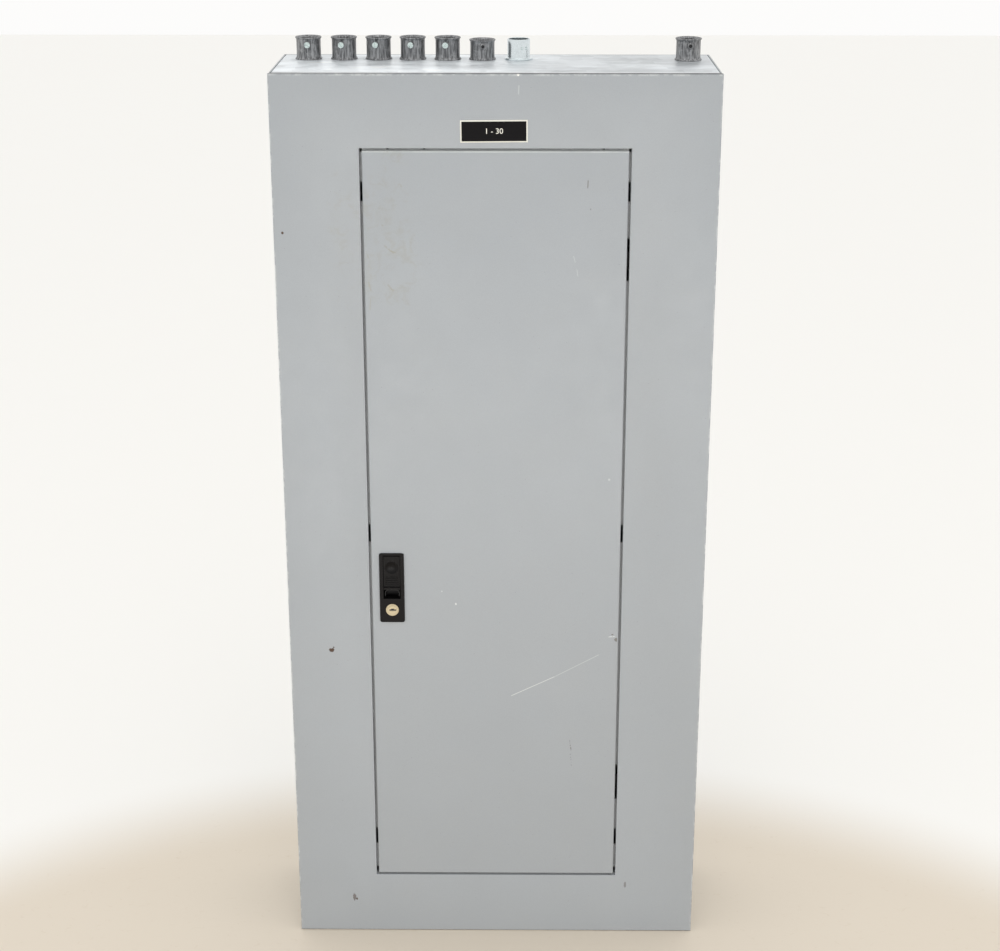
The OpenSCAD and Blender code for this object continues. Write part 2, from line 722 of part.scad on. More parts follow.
// Branch breaker case on the right-hand side, its top at z = 0.
module branch_case(poles) {
    h = poles * pole - 0.45;
    wall = 1.9;
    difference() {
        union() {
            block([case_in, case_front, -h], [case_out, case_back, 0]);
            block([nose_in, nose_y, -h], [nose_out, case_front + 1, 0]);
        }
        // drum cavity and bearing holes
        translate([toggle_x, toggle_y, 0]) {
            rod_z(drum_r + 0.6, -h + wall, -wall);
            rod_z(2.06, -h - 1, 1);
        }
        // to each pole: the slot that its lever moves in, the jaw's pocket and the wire terminal
        for (i = [0:poles - 1]) translate([0, 0, -pole * (i + 0.5) + 0.22]) {
            block([toggle_x - 6.4, nose_y - 1, -5], [toggle_x + 6.4, toggle_y - 2, 5]);
            block([18, case_back - 12, -7.5], [26, case_back + 1, 7.5]);
            block([case_out - 14, -12, -5.5], [case_out + 1, 4, 5.5]);
            translate([case_out - 7, 0, 0]) rod_y(3, case_front - 1, -11);
        }
        // lines between the poles
        if (poles > 1) for (i = [1:poles - 1]) {
            z = -pole * i + 0.2;
            block([case_in - 1, case_front - 1, z - 0.25], [nose_in - 1, case_front + 0.6, z + 0.25]);
            block([case_out - 0.6, case_front - 1, z - 0.25], [case_out + 1, case_back + 1, z + 0.25]);
            block([nose_in - 1, nose_y - 1, z - 0.25], [toggle_x - 12, nose_y + 0.5, z + 0.25]);
            block([toggle_x + 12, nose_y - 1, z - 0.25], [nose_out + 1, nose_y + 0.5, z + 0.25]);
        }
    }
}

// Its handle, leaning towards the middle of the panel: on. Several poles share one drum and a tie bar.
module branch_handle(poles) {
    h = poles * pole - 0.45;
    wall = 2.2;
    half = 4.2;
    translate([toggle_x, toggle_y, 0]) rotate([0, 0, -lean]) {
        rod_z(drum_r, -h + wall, -wall);
        rod_z(2, -h + 0.6, -0.6);
        for (i = [0:poles - 1]) translate([0, 0, -pole * (i + 0.5) + 0.22]) {
            block([-2.6, -lever_len + 2, -half], [2.6, -3, half]);
            translate([0, -lever_len + 2, 0]) rod_z(2.6, -half, half);
        }
        if (poles > 1)
            block([-1.8, -lever_len + 1.5, -pole * (poles - 0.5)], [1.8, -lever_len + 6, -pole / 2]);
    }
}

module place_breaker(i) {
    b = breakers[i];
    translate([0, 0, row_z(b[1]) - 0.22]) if (b[0] > 0) children(); else mirror([1, 0, 0]) children();
}

module breaker_case(i) color("#1f1f22") place_breaker(i) branch_case(breakers[i][2]);
module breaker_handle(i) color("#2c2c30") place_breaker(i) branch_handle(breakers[i][2]);

module main_breaker_case() color("#1f1f22") {
    top = main_lo + main_h;
    nose = nose_y - 2;
    difference() {
        union() {
            block([-main_w / 2, case_front, main_lo], [main_w / 2, main_back, top]);
            block([-30, nose, main_z - 35], [30, case_front + 1, main_z + 35]);
            both_sides() block([42, main_back - 1, main_lo + 10], [54, pan_front, top - 10]);
        }
        translate([0, toggle_y, main_z]) {
            rod_x(main_drum_r + 0.6, -17, 17);
            rod_x(3.06, -20, 20);
            block([-12, -14, -15], [12, 0, 15]);
        }
        for (x = bus_x) {
            block([x - 14, bus_y - 4, main_lo - 1], [x + 14, bus_y + bus_t + 4, main_lo + 20]);
            block([x - 14, -10, top - 22], [x + 14, 18, top + 1]);
            translate([x, 0, top - 11]) rod_y(5, case_front - 1, 0);
        }
        for (x = [-19, 19]) {
            block([x - 0.4, case_front - 1, main_lo - 1], [x + 0.4, case_front + 1.2, main_z - 36]);
            block([x - 0.4, case_front - 1, main_z + 36], [x + 0.4, case_front + 1.2, top + 1]);
        }
    }
}

// Main handle, leaning up: on.
module main_breaker_handle() color("#2c2c30") {
    translate([0, toggle_y, main_z]) rotate([-lean, 0, 0]) {
        rod_x(main_drum_r, -16.4, 16.4);
        rod_x(3, -19, 19);
        block([-9, -main_lever + 3, -3.4], [9, -4, 3.4]);
        translate([0, -main_lever + 3, 0]) rod_x(3.4, -9, 9);
    }
}

// Line lugs in the top of the main breaker, each with a wire way from above.
module main_lugs() color("#c9ccd0") {
    top = main_lo + main_h;
    for (x = bus_x) difference() {
        block([x - 12, -9, top - 21.5], [x + 12, 17, top + 24]);
        translate([x, 4, 0]) rod_z(8, top - 15, top + 30);
        translate([x, 0, top + 14]) rod_y(4.6, -12, 4);
    }
}

// ---- the nodes ----

box_wrap();
back_panel();
top_end_wall();
bottom_end_wall();
end_wall_screws();
trim_front();
trim_screws();
hinge_frame_leaves();
hinge_door_leaves();
hinge_pins();
door();
latch_housing();
latch_slide();
latch_bolt();
lock_barrel();
lock_plug();
lock_cam();
nameplate();
directory_frame();
directory_card();
die_cast_connectors();
steel_connector();
connector_set_screws();
connector_locknuts();
interior_pan();
bus_supports();
bus_bar(0);  // bus_bar_a
bus_bar(1);  // bus_bar_b
bus_bar(2);  // bus_bar_c
branch_straps();
breaker_rails();
neutral_bar();
neutral_standoffs();
ground_bar();
interior_fasteners();
deadfront();
deadfront_posts();
deadfront_screws();
filler_plates();
main_lugs();
main_breaker_case();
main_breaker_handle();
for (i = [0:len(breakers) - 1]) {
    breaker_case(i);
    breaker_handle(i);
}
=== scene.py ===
"""Looks for the surface-mounted breaker panel: softened sheet metal, worn enamel, galvanised
steel, cast and plated conduit connectors, and the breaker interior behind the door."""

import json
import math

import bmesh
import bpy
from mathutils import Matrix, Vector


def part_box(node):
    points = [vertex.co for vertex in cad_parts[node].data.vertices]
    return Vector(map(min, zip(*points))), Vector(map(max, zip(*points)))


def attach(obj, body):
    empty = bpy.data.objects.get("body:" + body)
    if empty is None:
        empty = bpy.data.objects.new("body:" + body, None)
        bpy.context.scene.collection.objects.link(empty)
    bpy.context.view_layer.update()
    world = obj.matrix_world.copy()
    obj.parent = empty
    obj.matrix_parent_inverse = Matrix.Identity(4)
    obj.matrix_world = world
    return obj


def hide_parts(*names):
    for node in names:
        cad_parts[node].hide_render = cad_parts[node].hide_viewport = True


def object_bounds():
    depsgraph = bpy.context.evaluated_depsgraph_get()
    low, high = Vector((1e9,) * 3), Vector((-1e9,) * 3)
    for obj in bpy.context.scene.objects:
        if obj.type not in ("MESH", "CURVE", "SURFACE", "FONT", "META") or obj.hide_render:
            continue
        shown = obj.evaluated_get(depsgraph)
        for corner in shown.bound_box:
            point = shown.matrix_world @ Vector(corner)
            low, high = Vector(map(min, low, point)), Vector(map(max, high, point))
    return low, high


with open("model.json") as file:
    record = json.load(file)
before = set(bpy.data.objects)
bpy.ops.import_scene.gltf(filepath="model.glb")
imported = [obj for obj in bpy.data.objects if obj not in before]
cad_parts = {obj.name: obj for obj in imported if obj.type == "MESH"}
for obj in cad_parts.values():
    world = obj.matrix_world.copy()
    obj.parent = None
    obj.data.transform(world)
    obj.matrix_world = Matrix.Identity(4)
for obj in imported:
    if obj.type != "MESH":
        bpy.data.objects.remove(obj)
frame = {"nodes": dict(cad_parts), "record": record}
cad_low, cad_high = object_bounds()
nodes = frame["nodes"]
scene = bpy.context.scene
MM = 0.001


# ---- node trees ----

class Finish:
    """One material's node tree round a Principled shader. Lengths are in metres, in the row's frame."""

    def __init__(self, name, **sockets):
        self.material = bpy.data.materials.new(name)
        self.material.use_nodes = True
        self.tree = self.material.node_tree
        self.tree.nodes.clear()
        self.shader = self.node("ShaderNodeBsdfPrincipled")
        out = self.node("ShaderNodeOutputMaterial")
        self.tree.links.new(self.shader.outputs[0], out.inputs[0])
        self.place = self.node("ShaderNodeTexCoord").outputs["Object"]
        self.axes = self.node("ShaderNodeSeparateXYZ")
        self.feed(self.axes.inputs[0], self.place)
        self.set(**sockets)

    def node(self, kind, **settings):
        made = self.tree.nodes.new(kind)
        for key, value in settings.items():
            setattr(made, key, value)
        return made

    def feed(self, socket, value):
        """Links a socket to a socket, or sets its value."""
        if isinstance(value, bpy.types.NodeSocket):
            self.tree.links.new(value, socket)
        elif socket.type == "RGBA" and len(value) == 3:
            socket.default_value = (*value, 1.0)
        else:
            socket.default_value = value

    def set(self, **sockets):
        for name, value in sockets.items():
            self.feed(self.shader.inputs[name.replace("_", " ")], value)
        return self

    def calc(self, operation, a, b=0.0, clamp=False):
        made = self.node("ShaderNodeMath", operation=operation, use_clamp=clamp)
        self.feed(made.inputs[0], a)
        self.feed(made.inputs[1], b)
        return made.outputs[0]

    def vector(self, operation, a, b):
        made = self.node("ShaderNodeVectorMath", operation=operation)
        self.feed(made.inputs[0], a)
        self.feed(made.inputs[1], b)
        return made.outputs["Value"] if operation in ("DOT_PRODUCT", "LENGTH") else made.outputs[0]

    def scaled(self, x, y, z):
        """The position, stretched: a pattern on it is finer along an axis with a larger number."""
        return self.vector("MULTIPLY", self.place, (x, y, z))

    def noise(self, size, detail=3.0, rough=0.55, at=None, shift=0.0, twist=0.0):
        """Noise whose features are about size metres across."""
        made = self.node("ShaderNodeTexNoise")
        start = self.vector("ADD", at or self.place, (shift, shift * 0.7, shift * 1.3))
        self.feed(made.inputs["Vector"], start)
        made.inputs["Scale"].default_value = 1.0 / size
        made.inputs["Detail"].default_value = detail
        made.inputs["Roughness"].default_value = rough
        made.inputs["Distortion"].default_value = twist
        return made.outputs["Fac"]

    def cells(self, size, output="Color", feature="F1", at=None):
        made = self.node("ShaderNodeTexVoronoi", feature=feature)
        self.feed(made.inputs["Vector"], at or self.place)
        made.inputs["Scale"].default_value = 1.0 / size
        return made.outputs[output]

    def step(self, value, low, high):
        """0 at low and 1 at high, smooth between; low may be above high."""
        made = self.node("ShaderNodeMapRange", interpolation_type="SMOOTHSTEP")
        self.feed(made.inputs["Value"], value)
        made.inputs["From Min"].default_value = low
        made.inputs["From Max"].default_value = high
        return made.outputs["Result"]

    def span(self, value, low, high):
        """A value from 0..1 noise, stretched to run from low to high."""
        made = self.node("ShaderNodeMapRange")
        self.feed(made.inputs["Value"], value)
        made.inputs["From Min"].default_value = 0.25
        made.inputs["From Max"].default_value = 0.75
        made.inputs["To Min"].default_value = low
        made.inputs["To Max"].default_value = high
        return made.outputs["Result"]

    def mix(self, share, a, b, blend="MIX"):
        made = self.node("ShaderNodeMix", data_type="RGBA", blend_type=blend)
        self.feed(made.inputs["Factor"], share)
        self.feed(made.inputs[6], a)
        self.feed(made.inputs[7], b)
        return made.outputs[2]

    def shade(self, colour, value):
        """The colour times a grey value."""
        grey = self.node("ShaderNodeCombineColor")
        for i in range(3):
            self.feed(grey.inputs[i], value)
        return self.mix(1.0, colour, grey.outputs[0], "MULTIPLY")

    def bump(self, height, depth, strength=1.0, under=None):
        made = self.node("ShaderNodeBump")
        self.feed(made.inputs["Height"], height)
        made.inputs["Distance"].default_value = depth
        made.inputs["Strength"].default_value = strength
        if under is not None:
            self.feed(made.inputs["Normal"], under)
        return made.outputs[0]

    def spot(self, x, z, half_w, half_h, ragged=0.5, grain=3 * MM):
        """A ragged patch on the front, centred on x and z, as a mask."""
        away = self.vector("SUBTRACT", self.place, (x * MM, 0, z * MM))
        away = self.vector("MULTIPLY", away, (1 / (half_w * MM), 0, 1 / (half_h * MM)))
        far = self.vector("LENGTH", away, (0, 0, 0))
        edge = self.calc("MULTIPLY", self.calc("SUBTRACT", self.noise(grain, 4, 0.6), 0.5), 2 * ragged)
        return self.step(self.calc("ADD", far, edge), 1.0, 0.7)

    def line(self, start, end, width, broken=0.4, grain=6 * MM):
        """A scratch on the front from one (x, z) to another, broken up along its length, as a mask."""
        begin = Vector((start[0], 0, start[1])) * MM
        along = Vector((end[0], 0, end[1])) * MM - begin
        length = along.length
        along.normalize()
        across = Vector((-along.z, 0, along.x))
        away = self.vector("SUBTRACT", self.place, tuple(begin))
        off = self.calc("ABSOLUTE", self.vector("DOT_PRODUCT", away, tuple(across)))
        run = self.vector("DOT_PRODUCT", away, tuple(along))
        mask = self.step(off, width * MM, width * MM * 0.4)
        mask = self.calc("MULTIPLY", mask, self.step(run, -0.5 * MM, 1 * MM))
        mask = self.calc("MULTIPLY", mask, self.step(run, length + 0.5 * MM, length - 2 * MM))
        return self.calc("MULTIPLY", mask, self.step(self.noise(grain, 3), broken, broken + 0.12))

    def front_only(self, mask):
        """The mask, kept to the outer faces of the trim and the door."""
        return self.calc("MULTIPLY", mask, self.step(self.axes.outputs[1], FACE + 0.9 * MM, FACE + 0.6 * MM))


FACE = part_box("trim_front")[0].y
TRIM_LOW, TRIM_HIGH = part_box("trim_front")
DOOR_LOW, DOOR_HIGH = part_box("door")
MIDDLE_Z = (TRIM_LOW.z + TRIM_HIGH.z) / 2


# ---- materials ----

ENAMEL = (0.314, 0.337, 0.360)
RUST = (0.060, 0.030, 0.016)
GRIME = (0.11, 0.095, 0.075)
STAIN = (0.27, 0.262, 0.195)
# pale primer where scratched or worn, also the painted highlight on the door's top edge
PRIMER_AND_HIGHLIGHT = (0.62, 0.64, 0.63)


def enamel(name, colour, marks=None):
    """Baked grey enamel: orange peel, faint cloudiness and fine dust, then this piece's own marks."""
    f = Finish(name, Metallic=0.0, Specular_IOR_Level=0.42)
    cloud = f.noise(0.11, 3, 0.5)
    grain = f.noise(0.9 * MM, 2, 0.6)
    value = f.calc("MULTIPLY", f.span(cloud, 0.982, 1.018), f.span(grain, 0.965, 1.035))
    warmer = tuple(c * k for c, k in zip(colour, (1.012, 1.0, 0.985)))
    tint = f.mix(f.noise(0.045, 2, shift=3.1), colour, warmer)
    base = f.shade(tint, value)
    dust = f.step(f.cells(7 * MM, "Distance"), 0.075, 0.05)
    dust = f.calc("MULTIPLY", dust, f.step(f.noise(0.03, 2, shift=9.0), 0.52, 0.6))
    base = f.mix(f.calc("MULTIPLY", dust, 0.35), base, GRIME)
    peel = f.noise(2.2 * MM, 2, 0.5)
    height = f.bump(peel, 0.02 * MM)
    height = f.bump(f.noise(0.16, 1, 0.4, shift=5.0), 0.35 * MM, under=height)
    rough = f.span(f.noise(0.02, 4, 0.6, shift=1.7), 0.40, 0.52)
    if marks:
        # painted light: faces behind the front (the jamb and lip of the opening, the door's flanges) go
        # towards a pale grey, standing for light that reaches into the narrow gap round the door
        outside = f.calc("GREATER_THAN", f.calc("ABSOLUTE", f.axes.outputs[0]), TRIM_HIGH.x - 3 * MM)
        ends = f.calc("GREATER_THAN", f.calc("ABSOLUTE", f.calc("SUBTRACT", f.axes.outputs[2], MIDDLE_Z)),
                      TRIM_HIGH.z - MIDDLE_Z - 3 * MM)
        jamb = f.step(f.axes.outputs[1], FACE + 1.6 * MM, FACE + 3.2 * MM)
        jamb = f.calc("SUBTRACT", jamb, f.calc("MAXIMUM", outside, ends), clamp=True)
        gap_light = f.mix(f.noise(12 * MM, 3), (0.74, 0.76, 0.77), (0.82, 0.83, 0.83))
        # more painted light along the top of the opening than down its sides
        top = f.step(f.axes.outputs[2], DOOR_HIGH.z - 2 * MM, DOOR_HIGH.z - 1 * MM)
        gap_light_share = f.calc("ADD", f.calc("MULTIPLY", top, 0.45), 0.45)
        base = f.mix(f.calc("MULTIPLY", jamb, gap_light_share), base, gap_light)
        base, rough, height = marks(f, base, rough, height)
    f.set(Base_Color=base, Roughness=rough, Normal=height)
    return f.material


def trim_marks(f, base, rough, height):
    """Chips, smears and rubbed edges on the trim, and painted shade on its top flange."""
    for x, z, w, h, depth in ((-203.6, 405.7, 3.6, 3.2, 1), (-244.7, 935.4, 1.6, 1.9, 1),
                              (-184.1, 50.2, 2.4, 6.5, 0.65), (-181.0, 47.5, 1.4, 2.0, 0.9),
                              (167.4, 69.9, 1.8, 5.0, 0.45), (-201.0, 409.5, 1.3, 1.5, 0.8)):
        mask = f.front_only(f.spot(x, z, w, h, ragged=0.55, grain=2.5 * MM))
        base = f.mix(f.calc("MULTIPLY", mask, depth), base, RUST)
        height = f.bump(mask, -0.05 * MM, under=height)
    # a soft smudge beside the door's upper left corner, then a pale drip and a chip at the top edge
    stain = f.spot(-172, 935, 24, 75, ragged=1.3, grain=26 * MM)
    stain = f.calc("MULTIPLY", stain, f.step(f.noise(15 * MM, 5, 0.7, shift=2.0, twist=0.8), 0.48, 0.72))
    base = f.mix(f.front_only(f.calc("MULTIPLY", stain, 0.28)), base, STAIN)
    drip = f.line((26.5, 1105), (26.0, 1094), 0.9, 0.2, 5 * MM)
    base = f.mix(f.front_only(f.calc("MULTIPLY", drip, 0.35)), base, PRIMER_AND_HIGHLIGHT)
    base = f.mix(f.spot(25.5, 1116.4, 1.6, 1.6, 0.5, 1.5 * MM), base, (0.9, 0.88, 0.82))
    # rubbed edges of the trim, paler where the enamel is thin
    outer = f.calc("ABSOLUTE", f.axes.outputs[0])
    edge_rub_and_highlight = f.step(outer, TRIM_HIGH.x - 2.2 * MM, TRIM_HIGH.x - 0.4 * MM)
    high = f.step(f.axes.outputs[2], TRIM_HIGH.z - 2.4 * MM, TRIM_HIGH.z - 0.5 * MM)
    edge_rub_and_highlight = f.calc("MULTIPLY", f.calc("MAXIMUM", edge_rub_and_highlight, high), f.step(f.noise(11 * MM, 4, 0.65), 0.42, 0.62))
    base = f.mix(f.calc("MULTIPLY", edge_rub_and_highlight, 0.55), base, PRIMER_AND_HIGHLIGHT)
    rough = f.calc("SUBTRACT", rough, f.calc("MULTIPLY", edge_rub_and_highlight, 0.08))
    # painted shade on the top flange, standing for the dark joint between the trim and the box's top wall,
    # heavier to the right
    flange = f.calc("MULTIPLY", f.step(f.axes.outputs[1], FACE + 1.2 * MM, FACE + 2.2 * MM),
                    f.step(f.axes.outputs[2], TRIM_HIGH.z - 1.5 * MM, TRIM_HIGH.z - 0.5 * MM))
    heavy = f.calc("ADD", f.calc("MULTIPLY", f.step(f.axes.outputs[0], -0.09, -0.02), 0.3), 0.6)
    joint_shade_share = f.calc("MULTIPLY", heavy, f.span(f.noise(16 * MM, 4, 0.6), 0.7, 1.0))
    base = f.mix(f.calc("MULTIPLY", flange, joint_shade_share), base, (0.05, 0.05, 0.05))
    return base, rough, height


def door_marks(f, base, rough, height):
    """The long pale scratch, dark nicks, drips and a smeared stain on the door, and a painted highlight
    along its top edge.
    """
    dark = [f.line((105.5, 997.5), (105.2, 987.5), 0.75, 0.2, 4 * MM),
            f.line((108.7, 964.6), (109.1, 962.4), 0.9, 0.1, 4 * MM),
            f.line((93.0, 281.0), (95.9, 262.0), 0.85, 0.44, 3 * MM),
            f.line((94.2, 262.0), (96.0, 242.0), 0.7, 0.50, 2.5 * MM),
            f.spot(148.6, 421.0, 1.9, 3.0, 0.8, 2 * MM),
            f.spot(144.3, 428.2, 1.5, 0.9, 0.6, 1.5 * MM)]
    for mask in dark:
        mask = f.front_only(mask)
        base = f.mix(f.calc("MULTIPLY", mask, 0.75), base, GRIME)
        height = f.bump(mask, -0.04 * MM, under=height)
    # painted highlight: a paler band along the door's top edge, where its bend catches the light
    edge_rub_and_highlight = f.step(f.axes.outputs[2], DOOR_HIGH.z - 1.9 * MM, DOOR_HIGH.z - 1.2 * MM)
    base = f.mix(f.calc("MULTIPLY", edge_rub_and_highlight, f.span(f.noise(20 * MM, 3), 0.25, 0.65)), base, PRIMER_AND_HIGHLIGHT)
    pale = [(f.line((19.2, 343.3), (74.0, 370.5), 0.6, 0.26, 9 * MM), 0.75),
            (f.line((74.0, 370.5), (128.8, 401.0), 0.55, 0.26, 8 * MM), 0.42),
            (f.line((89.9, 909.0), (93.4, 897.0), 0.5, 0.35, 7 * MM), 0.35),
            (f.line((93.4, 897.0), (95.4, 884.0), 0.5, 0.38, 7 * MM), 0.35),
            (f.spot(-48.9, 469.1, 1.2, 1.7, 0.5, 2 * MM), 0.9),
            (f.spot(-66.0, 486.0, 0.9, 1.1, 0.4, 2 * MM), 0.6),
            (f.line((139.0, 425.0), (148.0, 425.6), 0.7, 0.30, 3 * MM), 0.9),
            (f.spot(136.3, 633.0, 1.6, 1.6, 0.7, 2 * MM), 0.45)]
    for mask, share in pale:
        mask = f.front_only(mask)
        base = f.mix(f.calc("MULTIPLY", mask, share), base, PRIMER_AND_HIGHLIGHT)
        rough = f.calc("SUBTRACT", rough, f.calc("MULTIPLY", mask, 0.1))
        height = f.bump(mask, -0.03 * MM, under=height)
    stain = f.spot(-128, 925, 42, 95, ragged=1.4, grain=30 * MM)
    blotch = f.step(f.noise(17 * MM, 5, 0.7, shift=4.0, twist=0.9), 0.46, 0.70)
    base = f.mix(f.front_only(f.calc("MULTIPLY", f.calc("MULTIPLY", stain, blotch), 0.30)), base, STAIN)
    for start, end, wide in (((-128, 921), (-116, 911), 1.5), ((-122, 915), (-114, 912), 1.2),
                             ((-125, 875), (-118, 866), 1.4), ((-121, 869), (-113, 867), 1.0),
                             ((-149, 914), (-146, 905), 1.1), ((-147, 878), (-144, 866), 1.3),
                             ((-145, 858), (-146, 843), 0.9), ((-131, 946), (-128, 943), 1.4),
                             ((-110, 993), (-106, 989), 1.6)):
        streak = f.front_only(f.line(start, end, wide, 0.36, 3 * MM))
        base = f.mix(f.calc("MULTIPLY", streak, 0.42), base, STAIN)
    return base, rough, height


def galvanised(name, colour, spangle=13 * MM, streak=0.0, metal=0.9, painted_seam_light=False):
    """Hot-dip galvanised sheet: crystals, white bloom and handling scratches."""
    f = Finish(name, Metallic=metal)
    crystal = f.cells(spangle, "Color")
    split = f.node("ShaderNodeSeparateColor")
    f.feed(split.inputs[0], crystal)
    tone = f.calc("ADD", f.calc("MULTIPLY", split.outputs[0], 0.16), 0.90)
    bloom = f.step(f.noise(0.05, 5, 0.65, twist=0.4), 0.46, 0.72)
    run = f.noise(0.035, 4, 0.6, at=f.scaled(0.22, 1.0, 1.0), shift=1.3)
    base = f.shade(colour, f.calc("MULTIPLY", tone, f.span(run, 1.0 - streak, 1.0 + streak)))
    base = f.mix(f.calc("MULTIPLY", bloom, 0.40), base, (0.66, 0.69, 0.70))
    scratch = f.step(f.noise(1.1 * MM, 2, 0.5, at=f.scaled(1.0, 0.06, 0.06), shift=6.0), 0.66, 0.74)
    base = f.mix(f.calc("MULTIPLY", scratch, 0.25), base, (0.8, 0.82, 0.83))
    # the top wall: darker towards the right, and painted light and shade at its front edge
    if painted_seam_light:
        right = f.step(f.axes.outputs[0], -0.06, 0.12)
        base = f.shade(base, f.calc("SUBTRACT", 1.0, f.calc("MULTIPLY", right, 0.22)))
        # painted highlight along the front bend of the top wall
        front = f.step(f.axes.outputs[1], -67 * MM, -71 * MM)
        base = f.mix(f.calc("MULTIPLY", front, 0.5), base, (0.93, 0.95, 0.96))
        # painted shade in the joint between the top wall and the trim's top flange
        front_joint_shade = f.step(f.axes.outputs[1], -72.0 * MM, -72.5 * MM)
        front_joint_shade = f.calc("MULTIPLY", front_joint_shade, f.span(f.noise(14 * MM, 4, 0.6), 0.5, 0.95))
        base = f.mix(front_joint_shade, base, (0.07, 0.07, 0.068))
    rough = f.calc("ADD", f.calc("MULTIPLY", split.outputs[1], 0.12), f.span(bloom, 0.36, 0.54))
    height = f.bump(f.calc("MULTIPLY", split.outputs[2], 1.0), 0.015 * MM)
    height = f.bump(f.noise(0.12, 2, 0.4, shift=2.0), 0.5 * MM, under=height)
    f.set(Base_Color=base, Roughness=rough, Normal=height)
    return f.material


def cast_zinc(name):
    """Dull die-cast zinc with upright draw marks, tarnish and brighter rubbed places."""
    f = Finish(name, Metallic=0.85)
    streak = f.noise(1.5 * MM, 3, 0.6, at=f.scaled(1, 1, 0.10))
    blotch = f.noise(9 * MM, 4, 0.65, shift=2.2)
    base = f.mix(f.step(streak, 0.36, 0.66), (0.115, 0.117, 0.122), (0.36, 0.365, 0.375))
    base = f.mix(f.calc("MULTIPLY", f.step(blotch, 0.5, 0.7), 0.5), base, (0.50, 0.51, 0.52))
    pit = f.step(f.cells(1.3 * MM, "Distance"), 0.16, 0.08)
    base = f.mix(f.calc("MULTIPLY", pit, 0.6), base, (0.05, 0.05, 0.052))
    rough = f.span(streak, 0.36, 0.56)
    height = f.bump(streak, 0.10 * MM)
    f.set(Base_Color=base, Roughness=rough, Normal=f.bump(pit, -0.03 * MM, under=height))
    return f.material


def plated(name, colour, rough_low=0.16, rough_high=0.34, metal=1.0, tarnish_and_glint=(0.35, 0.33, 0.27), amount=0.3,
           patch_size=6 * MM):
    """Plated or bare metal: fine turning grain and tarnish in patches; on the bright screws the patches are
    painted glints.
    """
    f = Finish(name, Metallic=metal)
    grain = f.noise(0.7 * MM, 3, 0.6, at=f.scaled(1, 1, 0.35))
    patch = f.step(f.noise(patch_size, 5, 0.65, shift=4.4, twist=0.5), 0.50, 0.72)
    base = f.shade(colour, f.span(grain, 0.90, 1.08))
    base = f.mix(f.calc("MULTIPLY", patch, amount), base, tarnish_and_glint)
    rough = f.calc("ADD", f.span(grain, rough_low, rough_high), f.calc("MULTIPLY", patch, 0.12))
    f.set(Base_Color=base, Roughness=rough, Normal=f.bump(grain, 0.02 * MM))
    return f.material


def moulded(name, colour, rough_low=0.38, rough_high=0.5, grain_size=0.35 * MM, wear=0.06, gloss=0.4):
    """Moulded plastic: a spark-eroded grain, finger polish and a little dust."""
    f = Finish(name, Metallic=0.0, Specular_IOR_Level=gloss)
    grain = f.noise(grain_size, 2, 0.6)
    hand = f.noise(12 * MM, 3, 0.6, shift=7.0)
    base = f.shade(colour, f.span(grain, 0.85, 1.15))
    dusty = f.step(f.noise(3 * MM, 5, 0.7, shift=3.0), 0.50, 0.78)
    base = f.mix(f.calc("MULTIPLY", dusty, wear), base, (0.30, 0.30, 0.31))
    rough = f.calc("ADD", f.span(hand, rough_low, rough_high), f.calc("MULTIPLY", dusty, 0.1))
    f.set(Base_Color=base, Roughness=rough, Normal=f.bump(grain, 0.03 * MM))
    return f.material


def ruled_card(name):
    """Card stock with ruled rows and columns for the circuit directory."""
    low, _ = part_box("directory_card")
    f = Finish(name, Metallic=0.0, Roughness=0.75)
    row = f.calc("FRACT", f.calc("DIVIDE", f.calc("SUBTRACT", f.axes.outputs[2], low.z), CARD_ROW))
    rule = f.step(f.calc("ABSOLUTE", f.calc("SUBTRACT", row, 0.5)), 0.452, 0.462)
    for x in (-CARD_COLUMN, 0.0, CARD_COLUMN):
        line = f.step(f.calc("ABSOLUTE", f.calc("SUBTRACT", f.axes.outputs[0], x)), 0.45 * MM, 0.3 * MM)
        rule = f.calc("MAXIMUM", rule, line)
    fibre = f.noise(1.5 * MM, 4, 0.7, twist=0.8)
    age = f.step(f.noise(0.05, 3, shift=2.0), 0.45, 0.75)
    base = f.shade((0.78, 0.75, 0.66), f.span(fibre, 0.94, 1.04))
    base = f.mix(f.calc("MULTIPLY", age, 0.35), base, (0.62, 0.54, 0.38))
    base = f.mix(f.calc("MULTIPLY", rule, 0.7), base, (0.16, 0.20, 0.26))
    f.set(Base_Color=base, Normal=f.bump(fibre, 0.02 * MM))
    return f.material


def pale_floor(name):
    """Plain floor: warm round the panel's front, fading to white, with a faint fleck."""
    f = Finish(name, Metallic=0.0)
    away = f.vector("MULTIPLY", f.vector("ADD", f.place, (0, 0.85, 0)), (1, 1, 0))
    back = f.step(f.vector("LENGTH", away, (0, 0, 0)), 1.02, 1.25)
    fleck = f.step(f.noise(9 * MM, 4, 0.7, at=f.scaled(0.6, 1, 1), twist=1.0), 0.60, 0.70)
    warm = f.mix(f.calc("MULTIPLY", fleck, 0.20), (0.75, 0.67, 0.56), (0.60, 0.49, 0.36))
    base = f.mix(back, warm, (0.95, 0.94, 0.91))
    f.set(Base_Color=base, Roughness=f.span(f.noise(0.2, 2), 0.5, 0.62))
    return f.material


CARD_ROW = 13.6 * MM
CARD_COLUMN = 56 * MM

